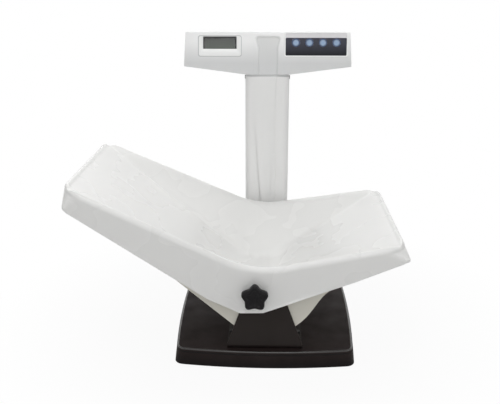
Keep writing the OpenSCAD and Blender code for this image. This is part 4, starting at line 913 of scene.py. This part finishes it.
def cover_inset(x, y):
    """How far a point lies inside the platform's outline."""
    off_x = np.abs(x) - COVER_HALF[0] + SIDE_BOW * (y / COVER_HALF[1]) ** 2 + COVER_TURN
    off_y = np.abs(y) - COVER_HALF[1] + FRONT_BOW * (x / COVER_HALF[0]) ** 2 + COVER_TURN
    round_off = np.hypot(np.maximum(off_x, 0), np.maximum(off_y, 0))
    return COVER_TURN - round_off - np.minimum(np.maximum(off_x, off_y), 0)


def cover_loop(inset, z):
    """The loop round the platform that lies inset inside its outline."""
    angle = np.linspace(0, 2 * math.pi, RAYS, endpoint=False)
    near, far = np.full(RAYS, NEAREST), np.full(RAYS, FARTHEST)
    for _ in range(HALVINGS):
        half_way = (near + far) / 2
        within = cover_inset(half_way * np.cos(angle), half_way * np.sin(angle)) > inset
        near, far = np.where(within, half_way, near), np.where(within, far, half_way)
    return np.stack([near * np.cos(angle), near * np.sin(angle), np.full(RAYS, z)], axis=1)


def round_bead(name, inset, z, radius, material):
    """A bead of the given radius that runs round the platform."""
    turns = np.linspace(0, 2 * math.pi, BEAD_SIDES, endpoint=False)
    loops = [cover_loop(inset - radius * math.cos(a), z + radius * math.sin(a)) for a in turns]
    bead = mesh_piece(name, *looped(loops), "platform", material, sharp_deg=60)


round_bead("cover_bead", 7.4, COVER_TOP - 1.9, 2.3, edge_abs)
# Painted shade: a thin black ring stands for the dark groove under the bead.
round_bead("cover_groove_painted_shade", 4.1, COVER_TOP - 6.0, 0.8, foot_rubber)
print("platform edge ready")

# %% [markdown]
# ## The stage
# The photograph has a plain white ground. The floor is a pale sheet that keeps a soft shadow
# near the scale, and what the camera, a mirror or a window sees of it is lifted to white. Farther
# out the lift is full, so that no horizon shows where the sheet meets the white sky.

# %% Floor and sky
FLOOR_HALF = 6.0
SHADOW_REACH, NEAR_LIFT = 0.3, 0.94


def seen_ray(tree):
    """One for a ray from the camera, a mirror or a window, and none for a ray that only lights."""
    path = add(tree, "ShaderNodeLightPath")
    seen = add(tree, "ShaderNodeMath", {0: path.outputs["Is Camera Ray"],
                                        1: path.outputs["Is Glossy Ray"]}, operation="MAXIMUM")
    seen = add(tree, "ShaderNodeMath", {0: seen.outputs["Value"],
                                        1: path.outputs["Is Transmission Ray"]},
               operation="MAXIMUM")
    return seen.outputs["Value"]


def white_ground(tree, lit, strength):
    """Mixes a lit surface with a white glow that only camera, mirror and window rays see."""
    share = add(tree, "ShaderNodeMath", {0: seen_ray(tree), 1: strength}, operation="MULTIPLY")
    glow = add(tree, "ShaderNodeEmission", {"Color": (1, 1, 1, 1), "Strength": 1.0})
    return add(tree, "ShaderNodeMixShader", {0: share.outputs["Value"], 1: lit,
                                             2: glow.outputs["Emission"]})


floor_mesh = bpy.data.meshes.new("floor")
corners = [(-FLOOR_HALF, -FLOOR_HALF, 0), (FLOOR_HALF, -FLOOR_HALF, 0),
           (FLOOR_HALF, FLOOR_HALF, 0), (-FLOOR_HALF, FLOOR_HALF, 0)]
floor_mesh.from_pydata(corners, [], [(0, 1, 2, 3)])
floor = bpy.data.objects.new("floor", floor_mesh)
bpy.context.scene.collection.objects.link(floor)
floor_paper = bpy.data.materials.new("white_paper_sweep")
floor_paper.use_nodes = True
paper_tree = floor_paper.node_tree
paper_shader = paper_tree.nodes["Principled BSDF"]
paper_shader.inputs["Base Color"].default_value = linear("#D6D6D6")
paper_shader.inputs["Roughness"].default_value = 0.9
paper_place = add(paper_tree, "ShaderNodeTexCoord").outputs["Object"]
paper_far = add(paper_tree, "ShaderNodeVectorMath", {0: paper_place}, operation="LENGTH")
paper_lift = add(paper_tree, "ShaderNodeMapRange", {"Value": paper_far.outputs["Value"],
                                                    "From Min": SHADOW_REACH,
                                                    "From Max": 2 * SHADOW_REACH,
                                                    "To Min": NEAR_LIFT, "To Max": 1.0})
paper_mix = white_ground(paper_tree, paper_shader.outputs["BSDF"], paper_lift.outputs["Result"])
paper_tree.links.new(paper_mix.outputs["Shader"],
                     paper_tree.nodes["Material Output"].inputs["Surface"])
wear(floor, floor_paper)

sky = bpy.data.worlds.new("studio")
bpy.context.scene.world = sky
sky.use_nodes = True
sky_tree = sky.node_tree
sky_tree.nodes.clear()
sky_fill = add(sky_tree, "ShaderNodeBackground", {"Color": linear("#FFFFFF"), "Strength": 0.12})
sky_seen = add(sky_tree, "ShaderNodeBackground", {"Color": (1, 1, 1, 1), "Strength": 1.0})
sky_mix = add(sky_tree, "ShaderNodeMixShader", {0: seen_ray(sky_tree),
                                                1: sky_fill.outputs["Background"],
                                                2: sky_seen.outputs["Background"]})
add(sky_tree, "ShaderNodeOutputWorld", {"Surface": sky_mix.outputs["Shader"]})
print("stage ready")

# %% [markdown]
# ## The lamps
# The photograph's light is soft and comes from all round, most of it from above and behind:
# faces that look up are nearly white, upright faces are a light grey. Six softboxes do that.
# Their strengths were weighed against the greys of the tray's faces, the head and the post.

# %% Six softboxes
def softbox(name, place, target, size, watts):
    """A square area lamp at place that looks at target."""
    lamp = bpy.data.lights.new(name, "AREA")
    lamp.size = size
    lamp.energy = watts
    holder = bpy.data.objects.new(name, lamp)
    bpy.context.scene.collection.objects.link(holder)
    holder.location = place
    holder.rotation_euler = (Vector(target) - Vector(place)).to_track_quat("-Z", "Y").to_euler()
    return holder


AIM = (0, 0, 0.25)
softbox("overhead", (0, -0.1, 2.6), AIM, 2.2, 6.5)
softbox("brow", (0, -0.7, 1.25), (0, 0.15, 0.55), 0.5, 2.5)
softbox("front", (0, -2.8, 1.5), AIM, 2.0, 14)
softbox("right", (2.6, -1.4, 1.6), AIM, 2.2, 19)
softbox("left", (-2.6, -1.4, 1.6), AIM, 2.2, 16)
softbox("back", (0, 1.6, 2.4), AIM, 3.2, 42)
print("lamps:", 6)

# %% [markdown]
# ## The camera
# The photograph looks down on the scale from the front, about 1.4 m away and a little to its
# right. Lens and place were fitted to the corners of the platform, the post and the head.

# %% Camera at the photograph's angle
LENS_MM = 50.2
SENSOR_MM = 36.0
EYE = (0.0056, -1.3625, 0.7086)
LOOK_DOWN_DEG = 18.36
TURN_DEG = 1.63
camera_data = bpy.data.cameras.new("photo_camera")
camera_data.lens = LENS_MM
camera_data.sensor_width = SENSOR_MM
camera_data.sensor_fit = "HORIZONTAL"
camera = bpy.data.objects.new("photo_camera", camera_data)
bpy.context.scene.collection.objects.link(camera)
camera.location = EYE
camera.rotation_euler = (math.radians(90 - LOOK_DOWN_DEG), 0, math.radians(TURN_DEG))
bpy.context.scene.camera = camera
bpy.context.scene.view_settings.view_transform = "Standard"
print("camera at", EYE)
